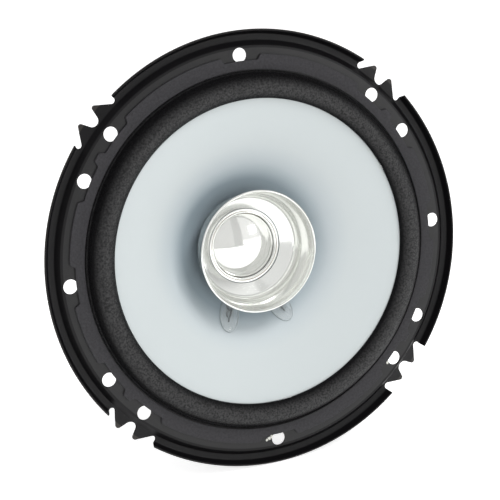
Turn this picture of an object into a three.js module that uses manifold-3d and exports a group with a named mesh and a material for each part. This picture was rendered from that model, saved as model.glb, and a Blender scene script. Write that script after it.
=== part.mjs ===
// Coaxial car speaker, 16.5 cm, as an assembly of separate solids.
//
// Frame: millimetres, +Z up, +X to the right seen from the front. The speaker faces -Y, so Y counts
// backwards along its axis. The origin is on that axis, in the plane of the rim's rear face, which seats
// on the door panel. Profiles are written as [radius, Y] points and turned about the Y axis.

import * as THREE from 'three';
import { mergeVertices } from 'three/addons/utils/BufferGeometryUtils.js';
import Module from 'manifold-3d';

const wasm = await Module();
wasm.setup();

// ------------------------------------------------------------------------------------ driving dimensions

// Basket: stamped sheet
const SHEET = 0.8;
const LIP_R = 82.1; // front edge of the raised lip, whose outside is 0.75 larger
const LIP_Y = -3.8;
const CHANNEL_OUT_R = 81.0; // flat channel between lip and step
const CHANNEL_IN_R = 78.6;
const CHANNEL_Y = -SHEET;
const STEP_R = 76.8; // top of the step up to the flange
const FLANGE_Y = -3.2; // front face of the flange
const FLANGE_IN_R = 66.8;
const LEDGE_Y = 23; // front face of the ledge that holds the spider
const LEDGE_OUT_R = 43.5;
const LEDGE_IN_R = 37;
const SEAT_Y = 31.25; // front face of the motor seat
const SEAT_OUT_R = 31;
const SEAT_IN_R = 17;
const SHOULDER = [65.2, 3]; // the bowl's side, from the flange's inner edge down to the ledge
const WALL_TOP = [62.8, 5];
const WALL_FOOT = [45.5, 20.8];
const SEAT_WALL_TOP = [34.8, 25]; // the short wall from the ledge down to the motor seat
const SEAT_WALL_FOOT = [32.6, 29.8];

// Screw holes in the flange
const HOLE_R = 2.7;
const HOLE_RING_R = 73.6;
const HOLE_ANGLES = [0, 30, 45, 90, 135, 150, 180, 210, 225, 270, 315, 330];

// Toothed zones of the rim, one in each quadrant. In a zone's own frame u runs outwards, v along the rim.
const ZONE_ANGLES = [45, 135, 225, 315];
const ZONE_HALF_WIDTH = 11.2;
const LIPPED_FROM = 7.64; // degrees from a zone's centre where the lipped section starts
const TOOTHED_TO = 7.1; // degrees from a zone's centre where the toothed section ends
const ARC_FACETS = 6; // between two zones
const TOOTH_TIP_R = 84.6; // before the outline is cut
const TOOTH_TIP_Y = 0.35; // front face at the tip: the teeth lean back
const TOOTH_TIP_ARC = { u: 82.95, v: 4.14, r: 1.0 };
const MIDDLE_NOTCH_ARC = { u: 81.1, v: 0, r: 2.3 };
const SIDE_NOTCH_ARC = { u: 79.9, v: 9.95, r: 1.25 };

// Windows between the four legs
const WINDOW_FRONT_Y = 5.5;
const WINDOW_REAR_Y = 20.4;
const WINDOW_FRONT_HALF = 27;
const WINDOW_REAR_HALF = 22;
const WINDOW_CORNER = 3;
const VENT_R = 3; // round vents in the legs' feet
const VENT_RING_R = 33.6;
const VENT_FRONT_Y = 24.5;
const VENT_REAR_Y = 30.75;

// Gasket on the flange, stepped inwards at each screw hole
const GASKET_IN_R = 68;
const GASKET_OUT_R = 73.6;
const GASKET_RECESS_R = 71.5;
const GASKET_RECESS_HALF = 6.6; // along the rim, from the hole's centre
const GASKET_RAMP = 1.6;
const GASKET_T = 0.9;

// Cone: a curved sheet from its outer edge to its neck
const CONE_T = 0.6;
const CONE_EDGE = [57.8, -5.7];
const CONE_BEND = [23.7, 7.43];
const CONE_NECK = [13.2, 19.5];
const CONE_STEPS = 6;

// Surround: half roll from the cone's edge to the flange
const SURROUND_T = 0.55;
const SURROUND_IN_R = 58.1;
const SURROUND_OUT_R = 67.7;
const FOOT_IN_Y = -5.9;
const FOOT_OUT_R = 67;
const ROLL_HANDLE_OUT = [66.4, -10.5]; // the half roll's two Bezier handles
const ROLL_HANDLE_IN = [59.2, -10.1];

// Spider: corrugated disc
const SPIDER_T = 0.6;
const SPIDER_IN_R = 13.2;
const SPIDER_OUT_R = 42.5;
const SPIDER_FLAT_R = 37;
const SPIDER_COLLAR = 1.8;
const SPIDER_WAVES = 3;
const SPIDER_WAVE = 1.5;

// Voice coil and its former
const FORMER_IN_R = 12.4;
const FORMER_OUT_R = 12.8;
const FORMER_FRONT_Y = 19.6;
const FORMER_REAR_Y = 40;
const COIL_OUT_R = 13.3;
const COIL_FRONT_Y = 29.75;
const COIL_REAR_Y = 38.75;

// Motor
const TOP_PLATE_IN_R = 13.8;
const PLATE_OUT_R = 35.5;
const TOP_PLATE_Y = SEAT_Y + SHEET;
const TOP_PLATE_T = 4;
const MAGNET_Y = TOP_PLATE_Y + TOP_PLATE_T;
const MAGNET_T = 10;
const MAGNET_IN_R = 19;
const MAGNET_OUT_R = 38;
const BACK_PLATE_Y = MAGNET_Y + MAGNET_T;
const BACK_PLATE_T = 4;
const BACK_Y = BACK_PLATE_Y + BACK_PLATE_T;
const GROOVE_OUT_R = 28.5; // shallow turned groove in the back plate's rear face
const GROOVE_IN_R = 27.3;
const GROOVE_DEPTH = 0.5;
const POLE_R = 12;
const POLE_BORE_R = 3.8;

// Four rivets that stake the basket to the top plate
const RIVET_RING_R = 25;
const RIVET_SHANK_R = 1.8;
const RIVET_HEAD_R = 3.2;
const RIVET_HEAD_T = 1.2;
const RIVET_LENGTH = 3;

// Terminal board, behind a tab of the ledge at the bottom
const TAB_HALF = 13;
const TAB_TOP_Z = -39;
const TAB_BOTTOM_Z = -57;
const BOARD_HALF = 15;
const BOARD_TOP_Z = -45;
const BOARD_BOTTOM_Z = -60.5;
const BOARD_Y = LEDGE_Y + SHEET;
const BOARD_T = 1.6;
const SPADE_Y = BOARD_Y + BOARD_T;
const SPADE_T = 0.8;
const SPADE_X = 6;
const SPADE_TOP_Z = -46;
const SPADE_BOTTOM_Z = -68;
const WIDE_SPADE = 4.8;
const NARROW_SPADE = 2.8;
const SPADE_TAPER = 0.6; // of the width, at the tip
const SPADE_POINT = 1.5; // length of the taper
const SPADE_HOLE_R = 0.6;
const SPADE_HOLE_Z = -64.5;
const BOARD_RIVET_X = 11.5;
const BOARD_RIVET_Z = -51;
const BOARD_RIVET_R = 1.3;
const BOARD_RIVET_HEAD_R = 2.4;
const BOARD_RIVET_HEAD_T = 0.8;
const LEAD_HOLE_R = 1.2;
const LEAD_HOLE_Z = -48.4;

// Crossover capacitor behind the board
const CAPACITOR_R = 4.2;
const CAPACITOR_HALF = 7;
const CAPACITOR_Y = 31.6;
const CAPACITOR_Z = -52;
const THIN_WIRE_R = 0.4;

// Tinsel leads, coil leads and glue drops
const TINSEL_R = 0.6;
const COIL_LEAD_R = 0.3;
const COIL_LEAD_RADII = [15.6, 16.8, 18, 19.2]; // distances from the axis along the cone
const CONE_GAP = 0.35; // from the cone to what lies on it
const LANDING_X = 12.4; // where a tinsel lead meets the back of the cone
const LANDING_Z = -31.6;
const DROP_ANGLE = 67.1; // below the horizontal, seen from the axis
const DROP_RING_R = 26.8;
const DROP_HALF_WIDTH = 4.1;
const DROP_HALF_LENGTH = 6.4;
const DROP_HALF_HEIGHT = 1.0;

// Tweeter, in front of the pole
const HORN_T = 0.7;
const HORN_PROFILE = [[22.75, -3.2], [20.5, 3.9], [20.1, 6.6], [18.2, 9.4], [14.6, 11.8]];
const CLAMP_IN_R = 12.5;
const CLAMP_OUT_R = 13.9;
const CLAMP_Y = 11.6;
const CLAMP_T = 1.6;
const DOME_EDGE_R = 12.2;
const DOME_EDGE_Y = 12.9;
const DOME_APEX_Y = 10.05;
const DOME_T = 0.35;
const TWEETER_COIL = { inner: 9.5, outer: 10.0, front: 12.6, rear: 17.6 };
const TWEETER_YOKE_Y = 13.2;
const TWEETER_RECESS_Y = 14.6;
const TWEETER_FLANGE_REAR_Y = 15.2;
const TWEETER_FLANGE_R = 14.6;
const TWEETER_FLANGE_EDGE_Y = 14.3; // the flange's rear corner is cut off, to clear the cone's neck
const TWEETER_FLANGE_FLAT_R = 13.4;
const TWEETER_CUP_R = 11.8;
const TWEETER_GAP_R = 10.6;
const TWEETER_MAGNET_R = 8;
const TWEETER_POLE_R = 9;
const TWEETER_POLE_Y = 15.4;
const TWEETER_MAGNET_Y = 17;
const TWEETER_FLOOR_Y = 20.1;
const TWEETER_REAR_Y = 21.6;
const POST_R = 5.5;
const STUD_R = 3.5;
const STUD_BORE_R = 2.3;
const STUD_REAR_Y = 56.5;
const WASHER_R = 6.8;
const WASHER_T = 1;
const NUT_ACROSS_CORNERS_R = 5.8;
const NUT_T = 3.5;
const WIRE_R = 0.7;
const WIRE_X = 0.95;

// Between pieces that touch on the real speaker, and how far a cutter reaches past what it cuts
const GAP = 0.3;
const PAST = 1;

// Smoothness
const BIG_FACETS = 40;
const MIDDLE_FACETS = 32;
const SMALL_FACETS = 24;
const HOLE_FACETS = 12;
const WIRE_FACETS = 8;
const ARC_STEPS = 4;
const ROLL_STEPS = 6;
const DOME_STEPS = 6;

// --------------------------------------------------------------------------------------------- materials

const steel = (color, roughness) => new THREE.MeshStandardMaterial({ color, roughness, metalness: 1 });
const plain = (color, roughness) => new THREE.MeshStandardMaterial({ color, roughness, metalness: 0 });

const blackSteel = plain(0x232325, 0.45);
const gasketFibre = plain(0x2c2c2e, 0.85);
const blackFoam = plain(0x17171a, 0.95);
const coneFilm = plain(0xcfd8de, 0.35);
const cottonCloth = plain(0xc9a65a, 0.9);
const formerFilm = plain(0x5a3a1c, 0.5);
const copper = steel(0xb5622e, 0.35);
const zincSteel = steel(0xb8bcc0, 0.4);
const ferrite = plain(0x3a3b3e, 0.8);
const phenolic = plain(0x6b4a2b, 0.7);
const tinnedBrass = steel(0xc8c6ba, 0.35);
const capacitorSleeve = plain(0x1d2a55, 0.4);
const tinsel = steel(0x9a7b4f, 0.6);
const clearGlue = plain(0xcad6da, 0.1);
const chrome = steel(0xe6e8ea, 0.08);
const domeFilm = steel(0xe2e4e6, 0.05);
const blackPlastic = plain(0x1c1c1e, 0.5);
const redWire = plain(0x8c1f1c, 0.5);
const blackWire = plain(0x151517, 0.5);

// ----------------------------------------------------------------------------------------------- helpers

const radians = (degrees) => (degrees * Math.PI) / 180;

// A closed mesh as a solid: shared vertices merged, flat triangles dropped, faces pointing out.
function solid(geometry) {
  const bare = geometry.clone();
  bare.deleteAttribute('normal');
  bare.deleteAttribute('uv');
  const merged = mergeVertices(bare, 1e-4);
  const index = merged.index.array;
  const position = merged.attributes.position.array;
  const triangles = [];
  let volume = 0;
  const corner = [new THREE.Vector3(), new THREE.Vector3(), new THREE.Vector3()];
  for (let i = 0; i < index.length; i += 3) {
    const [a, b, c] = [index[i], index[i + 1], index[i + 2]];
    if (a === b || b === c || c === a) continue;
    triangles.push(a, b, c);
    [a, b, c].forEach((vertex, k) => corner[k].fromArray(position, vertex * 3));
    volume += corner[0].dot(corner[1].clone().cross(corner[2]));
  }
  if (volume < 0) triangles.reverse();
  return new wasm.Manifold(new wasm.Mesh({
    numProp: 3,
    vertProperties: new Float32Array(position),
    triVerts: new Uint32Array(triangles),
  }));
}

function geometryOf(body) {
  const mesh = body.getMesh();
  const geometry = new THREE.BufferGeometry();
  geometry.setAttribute('position', new THREE.BufferAttribute(new Float32Array(mesh.vertProperties), 3));
  geometry.setIndex(Array.from(mesh.triVerts));
  geometry.computeVertexNormals();
  return geometry;
}

// A [radius, Y] outline turned about the Y axis. An outline that leaves the axis is closed on itself.
function turned(outline, facets = SMALL_FACETS) {
  const points = outline.map(([r, y]) => new THREE.Vector2(r, y));
  const onAxis = outline[0][0] === 0 && outline[outline.length - 1][0] === 0;
  if (!onAxis) points.push(points[0].clone());
  return solid(new THREE.LatheGeometry(points, facets));
}

const ring = (rIn, rOut, front, rear, facets) =>
  turned([[rIn, front], [rOut, front], [rOut, rear], [rIn, rear]], facets);

const disc = (r, front, rear, facets) => turned([[0, front], [r, front], [r, rear], [0, rear]], facets);

// The outline of a sheet: its front line, and the same line set back by the sheet's thickness, with mitred
// corners. The line runs inwards, and the thickness lies to its left, which is the rear.
function sheetOutline(line, thickness) {
  const normals = [];
  for (let i = 0; i + 1 < line.length; i += 1) {
    const du = line[i + 1][0] - line[i][0];
    const dv = line[i + 1][1] - line[i][1];
    const length = Math.hypot(du, dv);
    normals.push([dv / length, -du / length]);
  }
  const rear = line.map(([u, v], i) => {
    const before = normals[Math.max(i - 1, 0)];
    const after = normals[Math.min(i, normals.length - 1)];
    const share = 1 + before[0] * after[0] + before[1] * after[1];
    const back = thickness / share;
    return [u + back * (before[0] + after[0]), v + back * (before[1] + after[1])];
  });
  return [...line, ...rear.reverse()];
}

// A shape drawn seen from the front, x to the right and y up, given thickness along Y from front to rear.
function plate(shape, front, rear, curveSegments = HOLE_FACETS) {
  const depth = rear - front;
  const geometry = new THREE.ExtrudeGeometry(shape, { depth, bevelEnabled: false, curveSegments });
  geometry.rotateX(Math.PI / 2);
  geometry.translate(0, rear, 0);
  return geometry;
}

// Turns a geometry about the speaker's axis by an angle counted from +X towards +Z.
const turnedTo = (geometry, degrees) => geometry.rotateY(-radians(degrees));

function circleShape(x, y, r) {
  const shape = new THREE.Shape();
  shape.absarc(x, y, r, 0, Math.PI * 2, false);
  return shape;
}

const rod = (x, z, r, front, rear, facets = HOLE_FACETS) =>
  solid(plate(circleShape(x, z, r), front, rear, facets / 2));

const onRing = (r, degrees) => [r * Math.cos(radians(degrees)), r * Math.sin(radians(degrees))];

// Degrees from an angle to the nearest of several places round the axis.
const nearest = (angle, places) =>
  Math.min(...places.map((place) => Math.abs(((angle - place + 540) % 360) - 180)));

function box(x0, x1, y0, y1, z0, z1) {
  const geometry = new THREE.BoxGeometry(x1 - x0, y1 - y0, z1 - z0);
  geometry.translate((x0 + x1) / 2, (y0 + y1) / 2, (z0 + z1) / 2);
  return solid(geometry);
}

function wire(points, radius, steps) {
  const path = new THREE.CatmullRomCurve3(points.map((p) => new THREE.Vector3(...p)), false, 'centripetal');
  const section = new THREE.Shape();
  for (let i = 0; i < WIRE_FACETS; i += 1) {
    const angle = (i / WIRE_FACETS) * Math.PI * 2;
    const [x, y] = [radius * Math.cos(angle), radius * Math.sin(angle)];
    if (i === 0) section.moveTo(x, y);
    else section.lineTo(x, y);
  }
  section.closePath();
  return solid(new THREE.ExtrudeGeometry(section, { steps, extrudePath: path, bevelEnabled: false }));
}

const group = new THREE.Group();

function piece(name, body, material) {
  const mesh = new THREE.Mesh(geometryOf(body), material);
  mesh.name = name;
  group.add(mesh);
}

// ------------------------------------------------------------------------------------------------ basket

// Where the straight line that crosses between two circles touches each of them.
function crossingTangent(a, b, side) {
  const du = b.u - a.u;
  const dv = b.v - a.v;
  const towards = Math.atan2(dv, du);
  const open = Math.acos((a.r + b.r) / Math.hypot(du, dv)) * side;
  return { fromAngle: towards + open, toAngle: towards + Math.PI + open };
}

function arcPoints(arc, start, end) {
  const points = [];
  for (let i = 0; i <= ARC_STEPS; i += 1) {
    const angle = start + ((end - start) * i) / ARC_STEPS;
    points.push([arc.u + arc.r * Math.cos(angle), arc.v + arc.r * Math.sin(angle)]);
  }
  return points;
}

// What is cut away from one toothed zone: all outside the two teeth, their middle notch and the side notches.
function zoneCutShape() {
  const far = TOOTH_TIP_R + 10 * PAST;
  const flank = crossingTangent(TOOTH_TIP_ARC, SIDE_NOTCH_ARC, -1);
  const throat = crossingTangent(TOOTH_TIP_ARC, MIDDLE_NOTCH_ARC, 1);
  const half = [
    [far, ZONE_HALF_WIDTH],
    ...arcPoints(SIDE_NOTCH_ARC, Math.PI / 2, flank.toAngle),
    ...arcPoints(TOOTH_TIP_ARC, flank.fromAngle, throat.fromAngle),
    ...arcPoints(MIDDLE_NOTCH_ARC, throat.toAngle, Math.PI),
  ];
  const mirrored = half.slice(0, -1).reverse().map(([u, v]) => [u, -v]);
  return new THREE.Shape([...half, ...mirrored].map(([u, v]) => new THREE.Vector2(u, v)));
}

function windowCut(angle) {
  const shape = new THREE.Shape();
  const bevel = WINDOW_CORNER;
  shape.moveTo(-WINDOW_FRONT_HALF, WINDOW_FRONT_Y + bevel);
  shape.lineTo(-WINDOW_FRONT_HALF + bevel, WINDOW_FRONT_Y);
  shape.lineTo(WINDOW_FRONT_HALF - bevel, WINDOW_FRONT_Y);
  shape.lineTo(WINDOW_FRONT_HALF, WINDOW_FRONT_Y + bevel);
  shape.lineTo(WINDOW_REAR_HALF, WINDOW_REAR_Y - bevel);
  shape.lineTo(WINDOW_REAR_HALF - bevel, WINDOW_REAR_Y);
  shape.lineTo(-WINDOW_REAR_HALF + bevel, WINDOW_REAR_Y);
  shape.lineTo(-WINDOW_REAR_HALF, WINDOW_REAR_Y - bevel);
  shape.closePath();
  const geometry = new THREE.ExtrudeGeometry(shape, { depth: FLANGE_IN_R + PAST, bevelEnabled: false });
  geometry.rotateY(Math.PI / 2);
  return solid(turnedTo(geometry, angle));
}

// A ring whose section changes with the angle: every outline has the same number of [radius, Y] points.
function sweptRing(outlineAt, angles) {
  const outlines = angles.map(outlineAt);
  const points = outlines[0].length;
  const positions = [];
  outlines.forEach((outline, station) => {
    for (const [r, y] of outline) {
      const [x, z] = onRing(r, angles[station]);
      positions.push(x, y, z);
    }
  });
  const index = [];
  for (let station = 0; station < angles.length; station += 1) {
    const next = (station + 1) % angles.length;
    for (let k = 0; k < points; k += 1) {
      const a = station * points + k;
      const b = station * points + ((k + 1) % points);
      const c = next * points + k;
      const d = next * points + ((k + 1) % points);
      index.push(a, b, d, a, d, c);
    }
  }
  const geometry = new THREE.BufferGeometry();
  geometry.setAttribute('position', new THREE.Float32BufferAttribute(positions, 3));
  geometry.setIndex(index);
  return solid(geometry);
}

// The rivet hole and lead hole that the ledge's tab and the terminal board share on one side.
const boardHoles = (side, front, rear) =>
  rod(side * BOARD_RIVET_X, BOARD_RIVET_Z, BOARD_RIVET_R + GAP, front, rear)
    .add(rod(side * SPADE_X, LEAD_HOLE_Z, LEAD_HOLE_R, front, rear));

function basketAngles() {
  const angles = [];
  for (const zone of ZONE_ANGLES) {
    for (const share of [-1, -0.5, 0, 0.5, 1]) angles.push(zone + share * TOOTHED_TO);
    const span = 90 - 2 * LIPPED_FROM;
    for (let i = 0; i <= ARC_FACETS; i += 1) angles.push(zone + LIPPED_FROM + (span * i) / ARC_FACETS);
  }
  return angles;
}

function basket() {
  const inwards = [
    [STEP_R, FLANGE_Y],
    [FLANGE_IN_R, FLANGE_Y],
    SHOULDER,
    WALL_TOP,
    WALL_FOOT,
    [LEDGE_OUT_R, LEDGE_Y],
    [LEDGE_IN_R, LEDGE_Y],
    SEAT_WALL_TOP,
    SEAT_WALL_FOOT,
    [SEAT_OUT_R, SEAT_Y],
    [SEAT_IN_R, SEAT_Y],
  ];
  const lipped = sheetOutline(
    [[LIP_R, LIP_Y], [CHANNEL_OUT_R, CHANNEL_Y], [CHANNEL_IN_R, CHANNEL_Y], ...inwards],
    SHEET,
  );
  const leanY = (TOOTH_TIP_Y + CHANNEL_Y) / 2;
  const leanR = (TOOTH_TIP_R + CHANNEL_IN_R) / 2;
  const toothed = sheetOutline(
    [[TOOTH_TIP_R, TOOTH_TIP_Y], [leanR, leanY], [CHANNEL_IN_R, CHANNEL_Y], ...inwards],
    SHEET,
  );
  const fromZone = (angle) => nearest(angle, ZONE_ANGLES);
  const between = (LIPPED_FROM + TOOTHED_TO) / 2;
  let body = sweptRing((angle) => (fromZone(angle) < between ? toothed : lipped), basketAngles());
  for (const angle of ZONE_ANGLES) {
    body = body.subtract(solid(turnedTo(plate(zoneCutShape(), LIP_Y - 5 * PAST, 5 * PAST), angle)));
  }

  const ledgeTab = box(-TAB_HALF, TAB_HALF, LEDGE_Y, LEDGE_Y + SHEET, TAB_BOTTOM_Z, TAB_TOP_Z);
  body = body.add(ledgeTab);

  for (const angle of HOLE_ANGLES) {
    const [x, z] = onRing(HOLE_RING_R, angle);
    body = body.subtract(rod(x, z, HOLE_R, FLANGE_Y - PAST, FLANGE_Y + SHEET + PAST));
  }
  for (const angle of [0, 90, 180, 270]) {
    body = body.subtract(windowCut(angle));
    const [ventX, ventZ] = onRing(VENT_RING_R, angle + 45);
    body = body.subtract(rod(ventX, ventZ, VENT_R, VENT_FRONT_Y, VENT_REAR_Y));
    const [rivetX, rivetZ] = onRing(RIVET_RING_R, angle + 45);
    body = body.subtract(rod(rivetX, rivetZ, RIVET_SHANK_R + GAP, SEAT_Y - PAST, TOP_PLATE_Y + PAST));
  }
  for (const side of [-1, 1]) {
    body = body.subtract(boardHoles(side, LEDGE_Y - PAST, BOARD_Y + PAST));
  }
  return body;
}

piece('basket', basket(), blackSteel);

// ------------------------------------------------------------------------------------------------ gasket

function gasket() {
  const outline = new THREE.Shape();
  const edgeDistance = (angle) => radians(nearest(angle, HOLE_ANGLES)) * HOLE_RING_R;
  const stops = new Set();
  for (const hole of HOLE_ANGLES) {
    for (const along of [GASKET_RECESS_HALF, GASKET_RECESS_HALF + GASKET_RAMP]) {
      const spread = (along / HOLE_RING_R) * (180 / Math.PI);
      stops.add((hole + spread + 360) % 360);
      stops.add((hole - spread + 360) % 360);
    }
  }
  for (let i = 0; i < BIG_FACETS; i += 1) stops.add((i * 360) / BIG_FACETS);
  const angles = [...stops].sort((a, b) => a - b);
  angles.forEach((angle, i) => {
    const rise = (edgeDistance(angle) - GASKET_RECESS_HALF) / GASKET_RAMP;
    const share = Math.min(Math.max(rise, 0), 1);
    const [x, z] = onRing(GASKET_RECESS_R + (GASKET_OUT_R - GASKET_RECESS_R) * share, angle);
    if (i === 0) outline.moveTo(x, z);
    else outline.lineTo(x, z);
  });
  outline.closePath();
  const inner = new THREE.Path();
  for (let i = 0; i < BIG_FACETS; i += 1) {
    const [x, z] = onRing(GASKET_IN_R, (-i * 360) / BIG_FACETS);
    if (i === 0) inner.moveTo(x, z);
    else inner.lineTo(x, z);
  }
  inner.closePath();
  outline.holes.push(inner);
  return solid(plate(outline, FLANGE_Y - GASKET_T, FLANGE_Y));
}

piece('gasket', gasket(), gasketFibre);

// ----------------------------------------------------------------------------------- cone and suspension

const coneCurve = new THREE.QuadraticBezierCurve(
  new THREE.Vector2(...CONE_EDGE),
  new THREE.Vector2(...CONE_BEND),
  new THREE.Vector2(...CONE_NECK),
);
const coneLine = coneCurve.getPoints(CONE_STEPS).map((p) => [p.x, p.y]);
piece('cone', turned(sheetOutline(coneLine, CONE_T), BIG_FACETS), coneFilm);

// Y of the cone's front face at a radius.
function coneFront(radius) {
  let [low, high] = [0, 1];
  for (let i = 0; i < 40; i += 1) {
    const middle = (low + high) / 2;
    if (coneCurve.getPoint(middle).x > radius) low = middle;
    else high = middle;
  }
  return coneCurve.getPoint(low).y;
}

function surround() {
  const footY = FLANGE_Y - SURROUND_T;
  const roll = new THREE.CubicBezierCurve(
    new THREE.Vector2(FOOT_OUT_R, footY),
    new THREE.Vector2(...ROLL_HANDLE_OUT),
    new THREE.Vector2(...ROLL_HANDLE_IN),
    new THREE.Vector2(SURROUND_IN_R, FOOT_IN_Y),
  );
  const line = [[SURROUND_OUT_R, footY], ...roll.getPoints(ROLL_STEPS).map((p) => [p.x, p.y])];
  return turned(sheetOutline(line, SURROUND_T), BIG_FACETS);
}

piece('surround', surround(), blackFoam);

function spider() {
  const front = LEDGE_Y - SPIDER_T;
  const line = [[SPIDER_OUT_R, front], [SPIDER_FLAT_R, front]];
  const steps = SPIDER_WAVES * 2;
  const waveIn = SPIDER_IN_R + SPIDER_COLLAR;
  const pitch = (SPIDER_FLAT_R - waveIn) / steps;
  for (let i = 0; i < steps; i += 1) {
    line.push([SPIDER_FLAT_R - (i + 0.5) * pitch, front + (i % 2 ? SPIDER_WAVE : -SPIDER_WAVE)]);
  }
  line.push([waveIn, front], [SPIDER_IN_R, front]);
  return turned(sheetOutline(line, SPIDER_T), MIDDLE_FACETS);
}

piece('spider', spider(), cottonCloth);
piece('coil_former', ring(FORMER_IN_R, FORMER_OUT_R, FORMER_FRONT_Y, FORMER_REAR_Y), formerFilm);
piece('voice_coil', ring(FORMER_OUT_R, COIL_OUT_R, COIL_FRONT_Y, COIL_REAR_Y), copper);

// ------------------------------------------------------------------------------------------------- motor

function topPlate() {
  let body = ring(TOP_PLATE_IN_R, PLATE_OUT_R, TOP_PLATE_Y, MAGNET_Y);
  for (const angle of ZONE_ANGLES) {
    const [x, z] = onRing(RIVET_RING_R, angle);
    body = body.subtract(rod(x, z, RIVET_SHANK_R + GAP, TOP_PLATE_Y - PAST, TOP_PLATE_Y + RIVET_LENGTH));
  }
  return body;
}

piece('top_plate', topPlate(), zincSteel);
piece('magnet', ring(MAGNET_IN_R, MAGNET_OUT_R, MAGNET_Y, BACK_PLATE_Y), ferrite);
piece('pole_yoke', turned([
  [POLE_BORE_R, TOP_PLATE_Y],
  [POLE_R, TOP_PLATE_Y],
  [POLE_R, BACK_PLATE_Y],
  [PLATE_OUT_R, BACK_PLATE_Y],
  [PLATE_OUT_R, BACK_Y],
  [GROOVE_OUT_R, BACK_Y],
  [(GROOVE_OUT_R + GROOVE_IN_R) / 2, BACK_Y - GROOVE_DEPTH],
  [GROOVE_IN_R, BACK_Y],
  [POLE_BORE_R, BACK_Y],
]), zincSteel);

ZONE_ANGLES.forEach((angle, i) => {
  const rivet = turned([
    [0, SEAT_Y - RIVET_HEAD_T],
    [RIVET_HEAD_R, SEAT_Y - RIVET_HEAD_T],
    [RIVET_HEAD_R, SEAT_Y],
    [RIVET_SHANK_R, SEAT_Y],
    [RIVET_SHANK_R, SEAT_Y + RIVET_LENGTH],
    [0, SEAT_Y + RIVET_LENGTH],
  ], HOLE_FACETS);
  const [x, z] = onRing(RIVET_RING_R, angle);
  const geometry = geometryOf(rivet).translate(x, 0, z);
  piece(`motor_rivet_${i + 1}`, solid(geometry), zincSteel);
});

// ---------------------------------------------------------------------------------- terminals, crossover

function terminalBoard() {
  let body = box(-BOARD_HALF, BOARD_HALF, BOARD_Y, BOARD_Y + BOARD_T, BOARD_BOTTOM_Z, BOARD_TOP_Z);
  for (const side of [-1, 1]) {
    body = body.subtract(boardHoles(side, BOARD_Y - PAST, SPADE_Y + PAST));
  }
  return body;
}

function spade(x, width) {
  const half = width / 2;
  const tip = half * SPADE_TAPER;
  const shape = new THREE.Shape([
    [x - half, SPADE_TOP_Z],
    [x - half, SPADE_BOTTOM_Z + SPADE_POINT],
    [x - tip, SPADE_BOTTOM_Z],
    [x + tip, SPADE_BOTTOM_Z],
    [x + half, SPADE_BOTTOM_Z + SPADE_POINT],
    [x + half, SPADE_TOP_Z],
  ].map(([u, v]) => new THREE.Vector2(u, v)));
  return solid(plate(shape, SPADE_Y, SPADE_Y + SPADE_T)).subtract(
    rod(x, SPADE_HOLE_Z, SPADE_HOLE_R, SPADE_Y - PAST, SPADE_Y + SPADE_T + PAST, WIRE_FACETS),
  );
}

function boardRivet(side) {
  const rivet = turned([
    [0, LEDGE_Y - BOARD_RIVET_HEAD_T],
    [BOARD_RIVET_HEAD_R, LEDGE_Y - BOARD_RIVET_HEAD_T],
    [BOARD_RIVET_HEAD_R, LEDGE_Y],
    [BOARD_RIVET_R, LEDGE_Y],
    [BOARD_RIVET_R, SPADE_Y],
    [BOARD_RIVET_HEAD_R, SPADE_Y],
    [BOARD_RIVET_HEAD_R, SPADE_Y + BOARD_RIVET_HEAD_T],
    [0, SPADE_Y + BOARD_RIVET_HEAD_T],
  ], HOLE_FACETS);
  return solid(geometryOf(rivet).translate(side * BOARD_RIVET_X, 0, BOARD_RIVET_Z));
}

function capacitor() {
  const geometry = new THREE.CylinderGeometry(CAPACITOR_R, CAPACITOR_R, CAPACITOR_HALF * 2, HOLE_FACETS * 2);
  geometry.rotateZ(Math.PI / 2);
  geometry.translate(0, CAPACITOR_Y, CAPACITOR_Z);
  return solid(geometry);
}

// From the capacitor's right end down to the positive spade.
function capacitorLeadToSpade() {
  const low = SPADE_Y + SPADE_T + THIN_WIRE_R + GAP;
  return wire([
    [CAPACITOR_HALF + GAP, CAPACITOR_Y, CAPACITOR_Z],
    [CAPACITOR_HALF + 1.9, CAPACITOR_Y - 0.6, CAPACITOR_Z],
    [CAPACITOR_HALF + 1.7, low + 1.2, CAPACITOR_Z - 1],
    [SPADE_X, low, CAPACITOR_Z - 5.6],
  ], THIN_WIRE_R, 8);
}

// From the capacitor's left end up to the end of the positive tweeter wire.
function capacitorLeadToWire() {
  return wire([
    [-CAPACITOR_HALF - GAP, CAPACITOR_Y, CAPACITOR_Z],
    [-CAPACITOR_HALF - 2, CAPACITOR_Y, CAPACITOR_Z + 0.6],
    [-CAPACITOR_HALF - 2.2, CAPACITOR_Y + 0.2, CAPACITOR_Z + 2.6],
    [-CAPACITOR_HALF - 2, CAPACITOR_Y + 0.4, CAPACITOR_Z + 4.2],
  ], THIN_WIRE_R, 6);
}

piece('terminal_board', terminalBoard(), phenolic);
piece('terminal_positive', spade(SPADE_X, WIDE_SPADE), tinnedBrass);
piece('terminal_negative', spade(-SPADE_X, NARROW_SPADE), tinnedBrass);
piece('board_rivet_left', boardRivet(-1), zincSteel);
piece('board_rivet_right', boardRivet(1), zincSteel);
piece('capacitor', capacitor(), capacitorSleeve);
piece('capacitor_lead_to_wire', capacitorLeadToWire(), tinnedBrass);
piece('capacitor_lead_to_spade', capacitorLeadToSpade(), tinnedBrass);

// --------------------------------------------------------------------------------------- leads and drops

// Flexible lead from a spade's inner end, through its hole in the board and tab, to the back of the cone.
function tinselLead(side) {
  const landingY = coneFront(Math.hypot(LANDING_X, LANDING_Z)) + CONE_T + TINSEL_R + CONE_GAP;
  return wire([
    [side * SPADE_X, SPADE_Y - GAP, LEAD_HOLE_Z],
    [side * SPADE_X, BOARD_Y - 2.5, LEAD_HOLE_Z],
    [side * 6.4, 17, -48.2],
    [side * 9, 12.5, -44],
    [side * 11.4, 10.2, -37.5],
    [side * LANDING_X, landingY, LANDING_Z],
  ], TINSEL_R, 14);
}

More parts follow.
